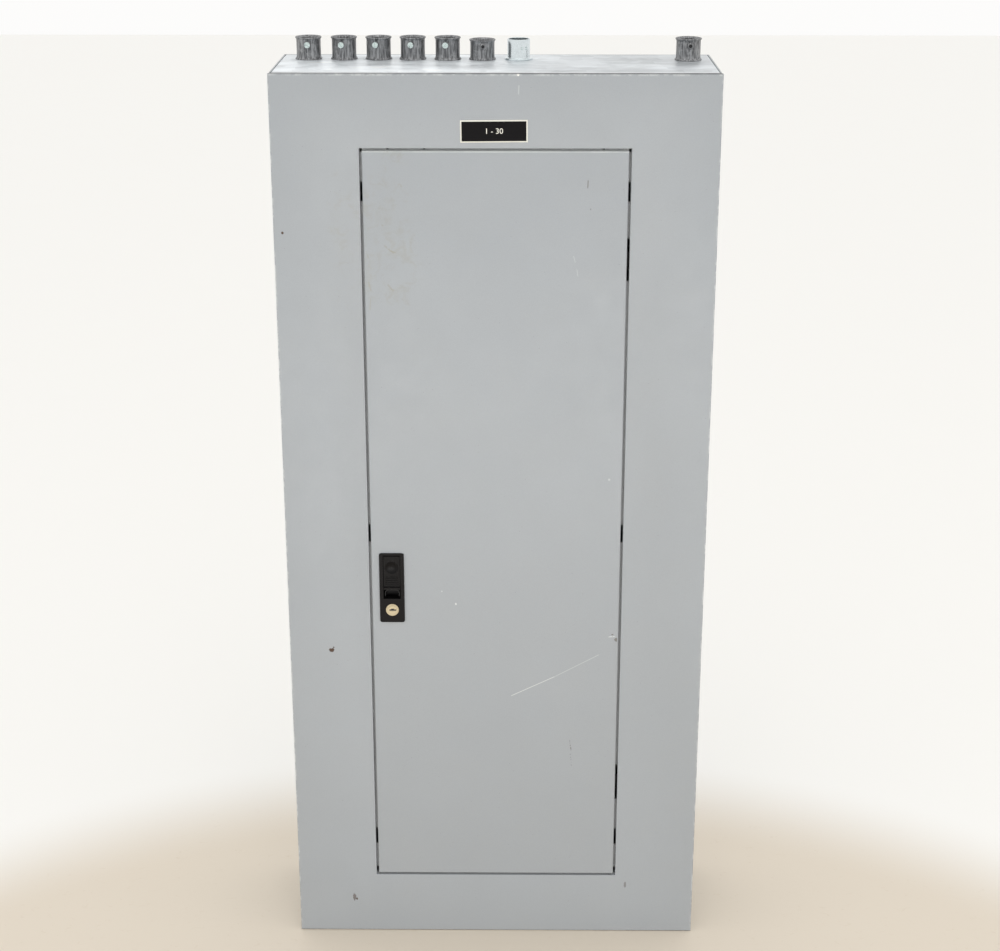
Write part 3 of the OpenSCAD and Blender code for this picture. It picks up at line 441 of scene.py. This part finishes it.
finishes = {
    "trim_enamel": enamel("trim_enamel", ENAMEL, trim_marks),
    "door_enamel": enamel("door_enamel", ENAMEL, door_marks),
    "deadfront_enamel": enamel("deadfront_enamel", tuple(c * 0.93 for c in ENAMEL)),
    "directory_steel": enamel("directory_steel", tuple(c * 1.03 for c in ENAMEL)),
    "galvanised_steel": galvanised("galvanised_steel", (0.50, 0.52, 0.53), streak=0.14),
    # the top wall: a brighter, less metallic copy of the galvanised steel, painted light falling on the top
    "top_steel": galvanised("top_steel", (0.84, 0.88, 0.91), spangle=17 * MM, streak=0.26, metal=0.55,
                            painted_seam_light=True),
    "interior_steel": galvanised("interior_steel", (0.52, 0.54, 0.55), spangle=9 * MM, streak=0.05),
    "zinc_plated_steel": plated("zinc_plated_steel", (0.56, 0.58, 0.58)),
    # on the set screws, dark patches among bright ones are painted glints
    "bright_screws": plated("bright_screws", (0.66, 0.76, 0.75), 0.10, 0.24, tarnish_and_glint=(0.16, 0.18, 0.18),
                            amount=0.9, patch_size=3.4 * MM),
    "plated_connector": plated("plated_connector", (0.70, 0.76, 0.78), 0.10, 0.30, amount=0.3,
                               tarnish_and_glint=(0.45, 0.50, 0.52)),
    "hinge_steel": plated("hinge_steel", (0.030, 0.030, 0.032), 0.45, 0.6, metal=0.2, amount=0.12),
    "die_cast_zinc": cast_zinc("die_cast_zinc"),
    "latch_plastic": moulded("latch_plastic", (0.0045, 0.0040, 0.0042), 0.36, 0.46, wear=0.015, gloss=0.13),
    "lock_brass": plated("lock_brass", (0.48, 0.42, 0.29), 0.26, 0.42, metal=0.85,
                         tarnish_and_glint=(0.40, 0.33, 0.22)),
    "worn_plastic": moulded("worn_plastic", (0.055, 0.054, 0.053), 0.42, 0.52, wear=0.1),
    "nameplate_laminate": moulded("nameplate_laminate", (0.0060, 0.0055, 0.0062), 0.30, 0.38, wear=0.01,
                                  gloss=0.05),
    "laminate_core": moulded("laminate_core", (0.74, 0.73, 0.66), 0.45, 0.55, wear=0.10),
    "directory_card": ruled_card("directory_card"),
    "bus_insulator": moulded("bus_insulator", (0.20, 0.035, 0.02), 0.4, 0.55, wear=0.08),
    "bus_copper": plated("bus_copper", (0.70, 0.34, 0.20), 0.22, 0.38, tarnish_and_glint=(0.25, 0.11, 0.07),
                         amount=0.6),
    "tinned_aluminium": plated("tinned_aluminium", (0.66, 0.67, 0.67), 0.26, 0.42, tarnish_and_glint=(0.4, 0.4, 0.39)),
    "standoff_plastic": moulded("standoff_plastic", (0.60, 0.57, 0.47), 0.45, 0.6, wear=0.2),
    "filler_plastic": moulded("filler_plastic", (0.020, 0.020, 0.021), 0.42, 0.55),
    "breaker_plastic": moulded("breaker_plastic", (0.016, 0.016, 0.017), 0.36, 0.5, 0.6 * MM, wear=0.05),
    "handle_plastic": moulded("handle_plastic", (0.022, 0.022, 0.023), 0.26, 0.4, wear=0.08),
    "print_white": moulded("print_white", (0.74, 0.74, 0.70), 0.5, 0.6, wear=0.15),
    "print_black": moulded("print_black", (0.02, 0.02, 0.022), 0.5, 0.6, wear=0.05),
}


# ---- meshes ----

def add_piece(bm, name, finish, body, flat_below=32.0):
    """Turns a bmesh into a piece that rides on a body."""
    bmesh.ops.recalc_face_normals(bm, faces=bm.faces)
    mesh = bpy.data.meshes.new(name)
    bm.to_mesh(mesh)
    bm.free()
    piece = bpy.data.objects.new(name, mesh)
    scene.collection.objects.link(piece)
    for material in finish if isinstance(finish, (list, tuple)) else [finish]:
        mesh.materials.append(finishes[material])
    mesh.shade_smooth()
    mesh.set_sharp_from_angle(angle=math.radians(flat_below))
    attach(piece, body)
    return piece


def cad_copy(node):
    """A welded copy of a CAD node's mesh, its flat faces merged."""
    bm = bmesh.new()
    bm.from_mesh(nodes[node].data)
    bmesh.ops.remove_doubles(bm, verts=bm.verts, dist=0.002 * MM)
    bmesh.ops.dissolve_limit(bm, angle_limit=math.radians(0.3), verts=bm.verts, edges=bm.edges)
    return bm


def near(a, b):
    return abs(a - b) < 0.05 * MM


def round_edges(bm, chosen, radius, steps=4):
    """Rounds the edges whose two ends both satisfy chosen(point)."""
    edges = [e for e in bm.edges if all(chosen(v.co) for v in e.verts) and len(e.link_faces) == 2
             and e.calc_face_angle(0) > 0.5]
    bmesh.ops.bevel(bm, geom=edges, offset=radius, segments=steps, profile=0.5, affect="EDGES",
                    clamp_overlap=False, offset_type="OFFSET")


def ease_modifiers(obj, width, steps=2, angle=35.0):
    """Small rounded edges on a mesh that keeps its own vertices."""
    weld = obj.modifiers.new("weld", "WELD")
    weld.merge_threshold = 0.002 * MM
    flat = obj.modifiers.new("flat", "DECIMATE")
    flat.decimate_type = "DISSOLVE"
    flat.angle_limit = math.radians(0.4)
    bevel = obj.modifiers.new("ease", "BEVEL")
    bevel.width = width
    bevel.segments = steps
    bevel.limit_method = "ANGLE"
    bevel.angle_limit = math.radians(angle)
    bevel.harden_normals = False
    bevel.miter_outer = "MITER_ARC"
    normals = obj.modifiers.new("normals", "WEIGHTED_NORMAL")
    normals.keep_sharp = True


def lathe(profile, centre, steps=72):
    """A closed ring of (radius, height) points turned about a vertical axis, as a bmesh."""
    bm = bmesh.new()
    rings = []
    for i in range(steps):
        a = 2 * math.pi * i / steps
        rings.append([bm.verts.new((centre[0] + r * math.cos(a), centre[1] + r * math.sin(a), centre[2] + h))
                      for r, h in profile])
    count = len(profile)
    for i, ring in enumerate(rings):
        after = rings[(i + 1) % steps]
        for k in range(count):
            bm.faces.new((ring[k], after[k], after[(k + 1) % count], ring[(k + 1) % count]))
    return bm


def arc_points(cx, cy, r, start, end, steps):
    """Points on an arc in a profile, angles in degrees."""
    angles = [math.radians(start + (end - start) * i / steps) for i in range(steps + 1)]
    return [(cx + r * math.cos(a), cy + r * math.sin(a)) for a in angles]


def add_rod(bm, start, end, radius, steps=24, chamfer=0.0):
    """Adds a solid round bar between two points to bm."""
    start, end = Vector(start), Vector(end)
    axis = (end - start).normalized()
    side = axis.orthogonal().normalized()
    other = axis.cross(side)
    stations = [(start, radius), (end, radius)]
    if chamfer:
        stations = [(start, radius - chamfer), (start + axis * chamfer, radius),
                    (end - axis * chamfer, radius), (end, radius - chamfer)]
    rings = [[bm.verts.new(p + side * (r * math.cos(a)) + other * (r * math.sin(a)))
              for a in (2 * math.pi * i / steps for i in range(steps))] for p, r in stations]
    for lower, upper in zip(rings, rings[1:]):
        for i in range(steps):
            bm.faces.new((lower[i], lower[(i + 1) % steps], upper[(i + 1) % steps], upper[i]))
    bm.faces.new(list(reversed(rings[0])))
    bm.faces.new(rings[-1])


def add_plate(bm, x0, x1, z0, z1, y0, y1, ease=0.0, steps=2):
    """Adds a box with eased edges to bm; y0 is its front."""
    part = bmesh.new()
    bmesh.ops.create_cube(part, size=1.0)
    size = Vector((x1 - x0, y1 - y0, z1 - z0))
    middle = Vector(((x0 + x1) / 2, (y0 + y1) / 2, (z0 + z1) / 2))
    placed = Matrix.Translation(middle) @ Matrix.Diagonal((*size, 1))
    bmesh.ops.transform(part, matrix=placed, verts=part.verts)
    if ease:
        bmesh.ops.bevel(part, geom=part.edges[:], offset=ease, segments=steps, profile=0.5, affect="EDGES")
    merge_into(bm, part)


def merge_into(bm, part, matrix=None):
    """Moves the geometry of part into bm."""
    if matrix is not None:
        bmesh.ops.transform(part, matrix=matrix, verts=part.verts)
    mesh = bpy.data.meshes.new("part")
    part.to_mesh(mesh)
    part.free()
    bm.from_mesh(mesh)
    bpy.data.meshes.remove(mesh)


def add_numerals(bm, text, height, x, y, z, depth=0.12 * MM, facing=-1, centred=True):
    """Adds numerals to bm, standing on the plane y and facing -Y (or +Y), their middle at x and z."""
    curve = bpy.data.curves.new("numerals", "FONT")
    curve.body = text
    curve.size = height / 0.7
    curve.extrude = depth / 2
    curve.offset = 0.0
    curve.resolution_u = 4
    curve.align_x = "CENTER" if centred else "LEFT"
    curve.align_y = "CENTER"
    shape = bpy.data.objects.new("numerals", curve)
    scene.collection.objects.link(shape)
    bpy.context.view_layer.update()
    mesh = bpy.data.meshes.new_from_object(shape.evaluated_get(bpy.context.evaluated_depsgraph_get()))
    part = bmesh.new()
    part.from_mesh(mesh)
    bmesh.ops.remove_doubles(part, verts=part.verts, dist=0.001 * MM)
    turn = Matrix.Rotation(math.radians(90), 4, "X")
    if facing > 0:
        turn = Matrix.Rotation(math.radians(180), 4, "Z") @ turn
    merge_into(bm, part, Matrix.Translation((x, y, z)) @ turn)
    bpy.data.objects.remove(shape)
    bpy.data.curves.remove(curve)
    bpy.data.meshes.remove(mesh)


# ---- sheet metal with bent edges ----

BEND = 2.2 * MM


def trim_skin():
    """The trim, with a bend radius round its rim and round the door's opening."""
    bm = cad_copy("trim_front")
    half_w = (DOOR_HIGH.x - DOOR_LOW.x) / 2 + 3 * MM
    open_low, open_high = DOOR_LOW.z - 3 * MM, DOOR_HIGH.z + 3 * MM

    def on_front(p):
        return near(p.y, FACE)

    def rim(p):
        return on_front(p) and (near(abs(p.x), TRIM_HIGH.x) or near(p.z, TRIM_LOW.z)
                                or near(p.z, TRIM_HIGH.z))

    def opening(p):
        return (on_front(p) and abs(p.x) < half_w + 0.1 * MM
                and open_low - 0.1 * MM < p.z < open_high + 0.1 * MM)

    round_edges(bm, rim, 1.3 * MM)
    round_edges(bm, opening, 0.9 * MM, 3)
    skin = add_piece(bm, "trim_skin", "trim_enamel", "enclosure")
    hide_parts("trim_front")


DOOR_EDGE = 1.2 * MM


def door_skin():
    """The door, with a bend radius round its four edges."""
    bm = cad_copy("door")

    def rim(p):
        return near(p.y, FACE) and (near(abs(p.x), DOOR_HIGH.x) or near(p.z, DOOR_LOW.z)
                                    or near(p.z, DOOR_HIGH.z))

    round_edges(bm, rim, DOOR_EDGE)
    skin = add_piece(bm, "door_skin", "door_enamel", "door")
    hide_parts("door")


SHEARED_EDGE = 0.4 * MM


def box_skin():
    """The box's side channels, bent at their front flanges, with sheared edges at the back."""
    bm = cad_copy("box_wrap")
    low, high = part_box("box_wrap")

    def front_upright(p):
        return near(abs(p.x), high.x) and near(p.y, low.y)

    def back_upright(p):
        return near(abs(p.x), high.x) and near(p.y, high.y)

    round_edges(bm, front_upright, BEND)
    round_edges(bm, back_upright, SHEARED_EDGE)
    skin = add_piece(bm, "box_wrap_skin", "galvanised_steel", "enclosure")
    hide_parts("box_wrap")


def end_wall_skin(node, finish, up):
    """An end wall, bent down at its front edge and sides."""
    bm = cad_copy(node)
    low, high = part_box(node)
    outer = high.z if up else low.z

    def rim(p):
        return near(p.z, outer) and (near(abs(p.x), high.x) or near(p.y, low.y) or near(p.y, high.y))

    round_edges(bm, rim, 1.8 * MM)
    skin = add_piece(bm, node + "_skin", finish, "enclosure")
    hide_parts(node)


# ---- conduit connectors ----

def connector_skins():
    """Cast connectors with a flared foot and a rolled rim, and one bright steel connector."""
    mounts = {m["name"]: m for m in frame["record"]["mounts"]}
    floor_z = cad_box_top()
    profiles = []
    for i in range(8):
        mount = mounts[f"emt_{i + 1}"]
        x, y, z = mount["pos_m"]
        bore = mount["dims"]["r_mm"] * MM
        high = z + mount["dims"]["length_mm"] * MM / 2 - floor_z
        profiles.append((x, y, bore, high))
    bm = bmesh.new()
    for i, (x, y, bore, high) in enumerate(profiles):
        if i == STEEL:
            continue
        part = lathe(cast_profile(bore, high), (x, y, floor_z))
        merge_into(bm, part)
        turn = math.radians(TURNS[i])
        face = Vector((math.sin(turn), -math.cos(turn), 0))
        middle = Vector((x, y, floor_z + SCREW_UP * high / CAST_HIGH))
        add_boss(bm, middle, face)
    sockets = bmesh.new()
    for i in RECESSED:
        x, y, bore, high = profiles[i]
        turn = math.radians(TURNS[i])
        face = Vector((math.sin(turn), -math.cos(turn), 0))
        middle = Vector((x, y, floor_z + SCREW_UP * high / CAST_HIGH))
        add_rod(sockets, middle + face * 13.9 * MM, middle + face * 15.1 * MM, 1.9 * MM, 24, 0.2 * MM)
    add_piece(sockets, "set_screw_sockets", "print_black", "enclosure")
    cast = add_piece(bm, "cast_connector_bodies", "die_cast_zinc", "enclosure")
    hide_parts("die_cast_connectors")
    x, y, bore, high = profiles[STEEL]
    bm = lathe(steel_profile(bore, high), (x, y, floor_z))
    steel = add_piece(bm, "steel_connector_body", "plated_connector", "enclosure")
    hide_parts("steel_connector")


SCREW_UP = 18 * MM      # a set screw's height on a cast connector of full height
CAST_HIGH = 27 * MM     # full height of a cast connector above the end wall
STEEL = 6
RECESSED = (5, 7)
TURNS = [0, -7, -9, -6, -7, 3, 26, 4]


def cad_box_top():
    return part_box("top_end_wall")[1].z


BOSS_SIDES = 28


def add_boss(bm, middle, face):
    """The round boss that a set screw stands in: a ring with an open middle."""
    side = face.orthogonal().normalized()
    other = face.cross(side)
    rings = []
    for out, r in ((12.6, 4.2), (14.6, 4.1), (15.3, 3.8), (15.6, 3.3), (15.6, 2.1), (14.2, 1.95),
                   (12.6, 1.95)):
        rings.append([bm.verts.new(middle + face * (out * MM) + side * (r * MM * math.cos(a))
                                   + other * (r * MM * math.sin(a)))
                      for a in (2 * math.pi * k / BOSS_SIDES for k in range(BOSS_SIDES))])
    for lower, upper in zip(rings, rings[1:] + rings[:1]):
        for k in range(BOSS_SIDES):
            after = (k + 1) % BOSS_SIDES
            bm.faces.new((lower[k], lower[after], upper[after], upper[k]))


def cast_profile(bore, high):
    """Half section of a cast connector, from the foot up the outside and down the inside."""
    mm = [(13.1, -12.0), (13.1, -0.1), (15.5, -0.05), (15.85, 0.3), (15.75, 1.0), (15.1, 1.7), (14.5, 2.5),
          (14.25, 3.8), (14.2, 9.0)]
    top = high / MM - 0.7
    mm += [(14.2, top - 5.0), (14.3, top - 3.0), (14.75, top - 2.3)]
    mm += arc_points(14.55, top - 1.1, 0.9, -50, 100, 9)
    mm += [(13.4, top - 0.5), (12.7, top - 1.3)]
    inner = bore / MM
    mm += [(inner, top - 2.4), (inner, high / MM - 20.0), (10.3, high / MM - 20.0), (10.3, -12.0)]
    return [(r * MM, h * MM) for r, h in mm]


def steel_profile(bore, high):
    """Half section of the plated steel connector."""
    top = high / MM
    inner = bore / MM
    mm = [(13.1, -12.0), (13.1, -0.1), (16.1, -0.05), (16.5, 0.3)] + arc_points(15.6, 1.35, 0.9, 0, 90, 5)
    mm += [(14.0, 2.35), (13.45, 2.9), (13.3, 3.8), (13.3, top - 0.6), (13.0, top), (12.3, top)]
    mm += [(inner, top - 0.5)]
    mm += [(inner, top - 20.0), (10.3, top - 20.0), (10.3, -12.0)]
    return [(r * MM, h * MM) for r, h in mm]


# ---- nameplate ----

def nameplate_skin():
    """Engraved laminate: a black face with a bevelled edge that shows the pale core."""
    low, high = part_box("nameplate")
    middle = (low + high) / 2
    half_w, half_h, thick, bevel = 38.1 * MM, 12.7 * MM, high.y - low.y, 1.5 * MM
    tilt = Matrix.Translation(middle) @ Matrix.Rotation(math.radians(-0.5), 4, "Y")
    bm = bmesh.new()
    rings = []
    for w, h, y in ((half_w, half_h, thick / 2), (half_w, half_h, -thick / 2 + 1.0 * MM),
                    (half_w - bevel, half_h - bevel, -thick / 2)):
        rings.append([bm.verts.new(tilt @ Vector((sx * w, y, sz * h)))
                      for sx, sz in ((-1, -1), (1, -1), (1, 1), (-1, 1))])
    for lower, upper in zip(rings, rings[1:]):
        for k in range(4):
            bm.faces.new((lower[k], lower[(k + 1) % 4], upper[(k + 1) % 4], upper[k])).material_index = 1
    bm.faces.new(rings[0]).material_index = 1
    bm.faces.new(rings[-1]).material_index = 0
    plate = add_piece(bm, "nameplate_skin", ("nameplate_laminate", "laminate_core"), "enclosure",
                      20)
    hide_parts("nameplate")
    bm = bmesh.new()
    add_numerals(bm, "1 - 30", 6.2 * MM, 0, 0, 0, 0.1 * MM)
    bmesh.ops.transform(bm, matrix=tilt @ Matrix.Translation((0, -thick / 2, 0)), verts=bm.verts)
    add_piece(bm, "nameplate_numerals", "laminate_core", "enclosure")


# ---- door furniture ----

SLIDE_DEPTH = 6.2 * MM      # from the slide's finger ridge to the back of its plate
LIP_CLEARANCE = 0.4 * MM    # between that plate and the arched wall
LIP_DEPTH = 3.4 * MM        # half the wall's depth


def latch_details():
    """The arched wall inside the finger hollow, behind the slide's travel, and the slide's thumb arc."""
    low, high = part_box("latch_housing")
    x = (low.x + high.x) / 2
    bm = bmesh.new()
    path = [(-8.6, 477.5), (-8.6, 481.2)] + arc_points(-4.6, 481.9, 4.0, 180, 90, 6)
    path += arc_points(4.6, 481.9, 4.0, 90, 0, 6) + [(8.6, 481.2), (8.6, 477.5)]
    slide_low, slide_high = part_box("latch_slide")
    middle_y = slide_low.y + SLIDE_DEPTH + LIP_CLEARANCE + LIP_DEPTH
    sweep(bm, [Vector((x + px * MM, middle_y, pz * MM)) for px, pz in path], 0.55 * MM, depth=LIP_DEPTH)
    add_piece(bm, "finger_hollow_lip", "worn_plastic", "door")
    bm = bmesh.new()
    arc = arc_points(0, slide_high.z / MM - 15.5, 8.2, 30, 150, 18)
    sweep(bm, [Vector((x + px * MM, low.y + 1.05 * MM, pz * MM)) for px, pz in arc], 0.35 * MM)
    add_piece(bm, "slide_thumb_arc", "latch_plastic", "latch_slide")


def sweep(bm, path, radius, steps=10, depth=None):
    """Adds a closed tube along a path in an XZ plane to bm, with a half depth of its own along Y."""
    depth = depth or radius
    rings = []
    for i, p in enumerate(path):
        ahead = (path[min(i + 1, len(path) - 1)] - path[max(i - 1, 0)]).normalized()
        side = ahead.cross(Vector((0, 1, 0))).normalized()
        rings.append([bm.verts.new(p + side * (radius * math.cos(a))
                                   + Vector((0, 1, 0)) * (depth * math.sin(a)))
                      for a in (2 * math.pi * k / steps for k in range(steps))])
    for lower, upper in zip(rings, rings[1:]):
        for k in range(steps):
            bm.faces.new((lower[k], lower[(k + 1) % steps], upper[(k + 1) % steps], upper[k]))
    bm.faces.new(list(reversed(rings[0])))
    bm.faces.new(rings[-1])


KEY_X, KEY_Z = -127 * MM, 461.7 * MM    # the lock's axis
SHADE_PLATES = ((-3.5, 4.7, -0.9, 0.7), (-1.5, 1.9, 0.75, 1.7))    # left, right, bottom and top in millimetres


def key_wards():
    """Black plates in the lock's keyway, a wide one and a short one above it: painted shade inside the
    keyway.
    """
    low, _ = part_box("lock_plug")
    bm = bmesh.new()
    for left, right, bottom, top in SHADE_PLATES:
        add_plate(bm, KEY_X + left * MM, KEY_X + right * MM, KEY_Z + bottom * MM, KEY_Z + top * MM,
                  low.y + 0.35 * MM, low.y + 3 * MM, 0.1 * MM)
    add_piece(bm, "key_wards", "print_black", "lock_core")


def directory_print():
    """Circuit numbers on the directory card: odd numbers in one column and even in the other."""
    low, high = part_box("directory_card")
    bm = bmesh.new()
    for k in range(15):
        z = low.z + CARD_ROW * (14.9 - k)
        for column, x in ((1, 63.5 * MM), (2, -63.5 * MM)):
            add_numerals(bm, str(2 * k + column), 4.2 * MM, x, high.y + 0.02 * MM, z, 0.04 * MM, facing=1)
    add_piece(bm, "directory_print", "print_black", "door")


# ---- interior ----

def breaker_rows():
    """Each branch breaker's side, its own box and how many poles it has."""
    found = []
    for i in range(1, 10):
        low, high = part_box(f"breaker_{i}_case")
        side = 1 if low.x > 0 else -1
        found.append((i, side, low, high, round((high.z - low.z) / PITCH)))
    return found


PITCH = 19.05 * MM
RATINGS = {1: "60", 2: "100", 3: "30", 4: "40", 5: "20", 6: "50", 7: "30", 8: "20", 9: "15"}


def breaker_print():
    """Ratings and the marks for on and off beside each handle, in white."""
    bm = bmesh.new()
    for i, side, low, high, poles in breaker_rows():
        front = low.y
        for k in range(poles):
            z = high.z - PITCH * (k + 0.5)
            add_numerals(bm, "1", 3.2 * MM, side * 44.5 * MM, front, z, 0.06 * MM)
            add_numerals(bm, "0", 3.2 * MM, side * 67.0 * MM, front, z + 3.2 * MM, 0.06 * MM)
            add_numerals(bm, RATINGS[i], 3.0 * MM, side * 68.0 * MM, front, z - 4.2 * MM, 0.06 * MM)
    low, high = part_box("main_breaker_case")
    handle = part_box("main_breaker_handle")
    z = (handle[0].z + handle[1].z) / 2 - 2 * MM
    add_numerals(bm, "1", 5 * MM, 0, low.y, z + 25 * MM, 0.06 * MM)
    add_numerals(bm, "0", 5 * MM, 0, low.y, z - 27 * MM, 0.06 * MM)
    add_numerals(bm, "225", 5 * MM, 22 * MM, low.y, z - 27 * MM, 0.06 * MM)
    add_piece(bm, "breaker_print", "print_white", "enclosure")


STRIP_X = 85 * MM          # middle of a number strip, on each side of the breakers
STRIP_HALF = 6 * MM
STRIP_THICK = 0.4 * MM


def number_strips():
    """Card strips beside the breakers that number the spaces."""
    cases = breaker_rows()
    top = max(high.z for _, _, _, high, _ in cases)
    floor_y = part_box("deadfront_screws")[0].y + 2.6 * MM
    strips, digits = bmesh.new(), bmesh.new()
    bottom = top - 15 * PITCH
    for side in (-1, 1):
        x = side * STRIP_X
        add_plate(strips, x - STRIP_HALF, x + STRIP_HALF, bottom - 2 * MM, top + 2 * MM,
                  floor_y - STRIP_THICK, floor_y, 0.15 * MM)
        for row in range(15):
            number = 2 * row + (1 if side < 0 else 2)
            z = top - PITCH * (row + 0.5)
            add_numerals(digits, str(number), 5 * MM, x, floor_y - STRIP_THICK, z, 0.06 * MM)
    add_piece(strips, "number_strips", "laminate_core", "enclosure")
    add_piece(digits, "space_numbers", "print_black", "enclosure")


EASED = {"trim_screws": 0.25, "deadfront_screws": 0.25, "end_wall_screws": 0.25,
         "hinge_frame_leaves": 0.3, "hinge_door_leaves": 0.3, "hinge_pins": 0.2, "latch_housing": 0.45,
         "latch_slide": 0.35, "latch_bolt": 0.2, "lock_barrel": 0.35, "lock_plug": 0.25,
         "lock_cam": 0.25, "directory_frame": 0.25, "directory_card": 0.05, "connector_set_screws": 0.18,
         "connector_locknuts": 0.4, "interior_pan": 0.5, "back_panel": 0.4, "bus_supports": 0.6,
         "bus_bar_a": 0.4, "bus_bar_b": 0.4, "bus_bar_c": 0.4, "branch_straps": 0.3,
         "breaker_rails": 0.4, "neutral_bar": 0.4, "neutral_standoffs": 0.6, "ground_bar": 0.4,
         "interior_fasteners": 0.25, "deadfront": 0.5, "deadfront_posts": 0.3, "filler_plates": 0.4,
         "main_lugs": 0.6, "main_breaker_case": 0.9, "main_breaker_handle": 0.8}


def finish_cad_nodes():
    """Gives every CAD node its slot's finish, and eases the edges of those that show."""
    slots = {s["node"]: s["material_slot"] for s in frame["record"]["subparts"]}
    for name, obj in nodes.items():
        obj.data.materials.clear()
        obj.data.materials.append(finishes[slots[name]])
        if obj.hide_render:
            continue
        width = EASED.get(name, 0.55 if name.endswith("_case") else 0.45)
        ease_modifiers(obj, width * MM)


# ---- floor, light and camera ----

# name, place, width in metres and power in watts
LAMPS = (("left_lamp", (-0.55, -2.3, 0.2), 0.6, 11.5),
         ("right_lamp", (0.6, -2.3, 0.2), 0.6, 12),
         ("top_lamp", (0.2, -0.9, 3.4), 2.6, 5))


def stage():
    """A plain pale floor, a bright even sky and two soft lamps."""
    bm = bmesh.new()
    bmesh.ops.create_grid(bm, x_segments=4, y_segments=4, size=9.0)
    mesh = bpy.data.meshes.new("floor")
    bm.to_mesh(mesh)
    bm.free()
    floor = bpy.data.objects.new("floor", mesh)
    scene.collection.objects.link(floor)
    floor.location.z = cad_low.z
    mesh.materials.append(pale_floor("floor"))
    world = bpy.data.worlds.new("sky")
    scene.world = world
    world.use_nodes = True
    sky = world.node_tree.nodes["Background"]
    sky.inputs["Color"].default_value = (1.0, 0.995, 0.985, 1)
    sky.inputs["Strength"].default_value = 0.98
    for name, place, size, power in LAMPS:
        lamp = bpy.data.lights.new(name, "AREA")
        lamp.shape = "DISK"
        lamp.size = size
        lamp.energy = power
        lamp.color = (1.0, 0.985, 0.965)
        holder = bpy.data.objects.new(name, lamp)
        scene.collection.objects.link(holder)
        holder.location = place
        aim = Vector((0, 0, 0.6)) - Vector(place)
        holder.rotation_euler = aim.to_track_quat("-Z", "Y").to_euler()


CAMERA_PLACE = (0.021, -2.1235, 1.421)
CAMERA_DOWN, CAMERA_TURN = 18.61, -0.44    # degrees
LENS_MM = 65.56
LENS_SHIFT = -0.0755


def camera():
    """The viewing angle: from above the panel's top, tilted down, nearly square on."""
    lens = bpy.data.cameras.new("camera")
    lens.sensor_width = 36.0
    lens.lens = LENS_MM
    lens.shift_y = LENS_SHIFT
    holder = bpy.data.objects.new("camera", lens)
    scene.collection.objects.link(holder)
    pitch, yaw = math.radians(CAMERA_DOWN), math.radians(CAMERA_TURN)
    holder.location = CAMERA_PLACE
    look = Vector((math.sin(yaw) * math.cos(pitch), math.cos(yaw) * math.cos(pitch), -math.sin(pitch)))
    holder.rotation_euler = look.to_track_quat("-Z", "Y").to_euler()
    scene.camera = holder


stage()
camera()
trim_skin()
door_skin()
box_skin()
end_wall_skin("top_end_wall", "top_steel", up=True)
end_wall_skin("bottom_end_wall", "galvanised_steel", up=False)
connector_skins()
nameplate_skin()
latch_details()
key_wards()
directory_print()
breaker_print()
number_strips()
finish_cad_nodes()
scene.view_settings.view_transform = "Standard"
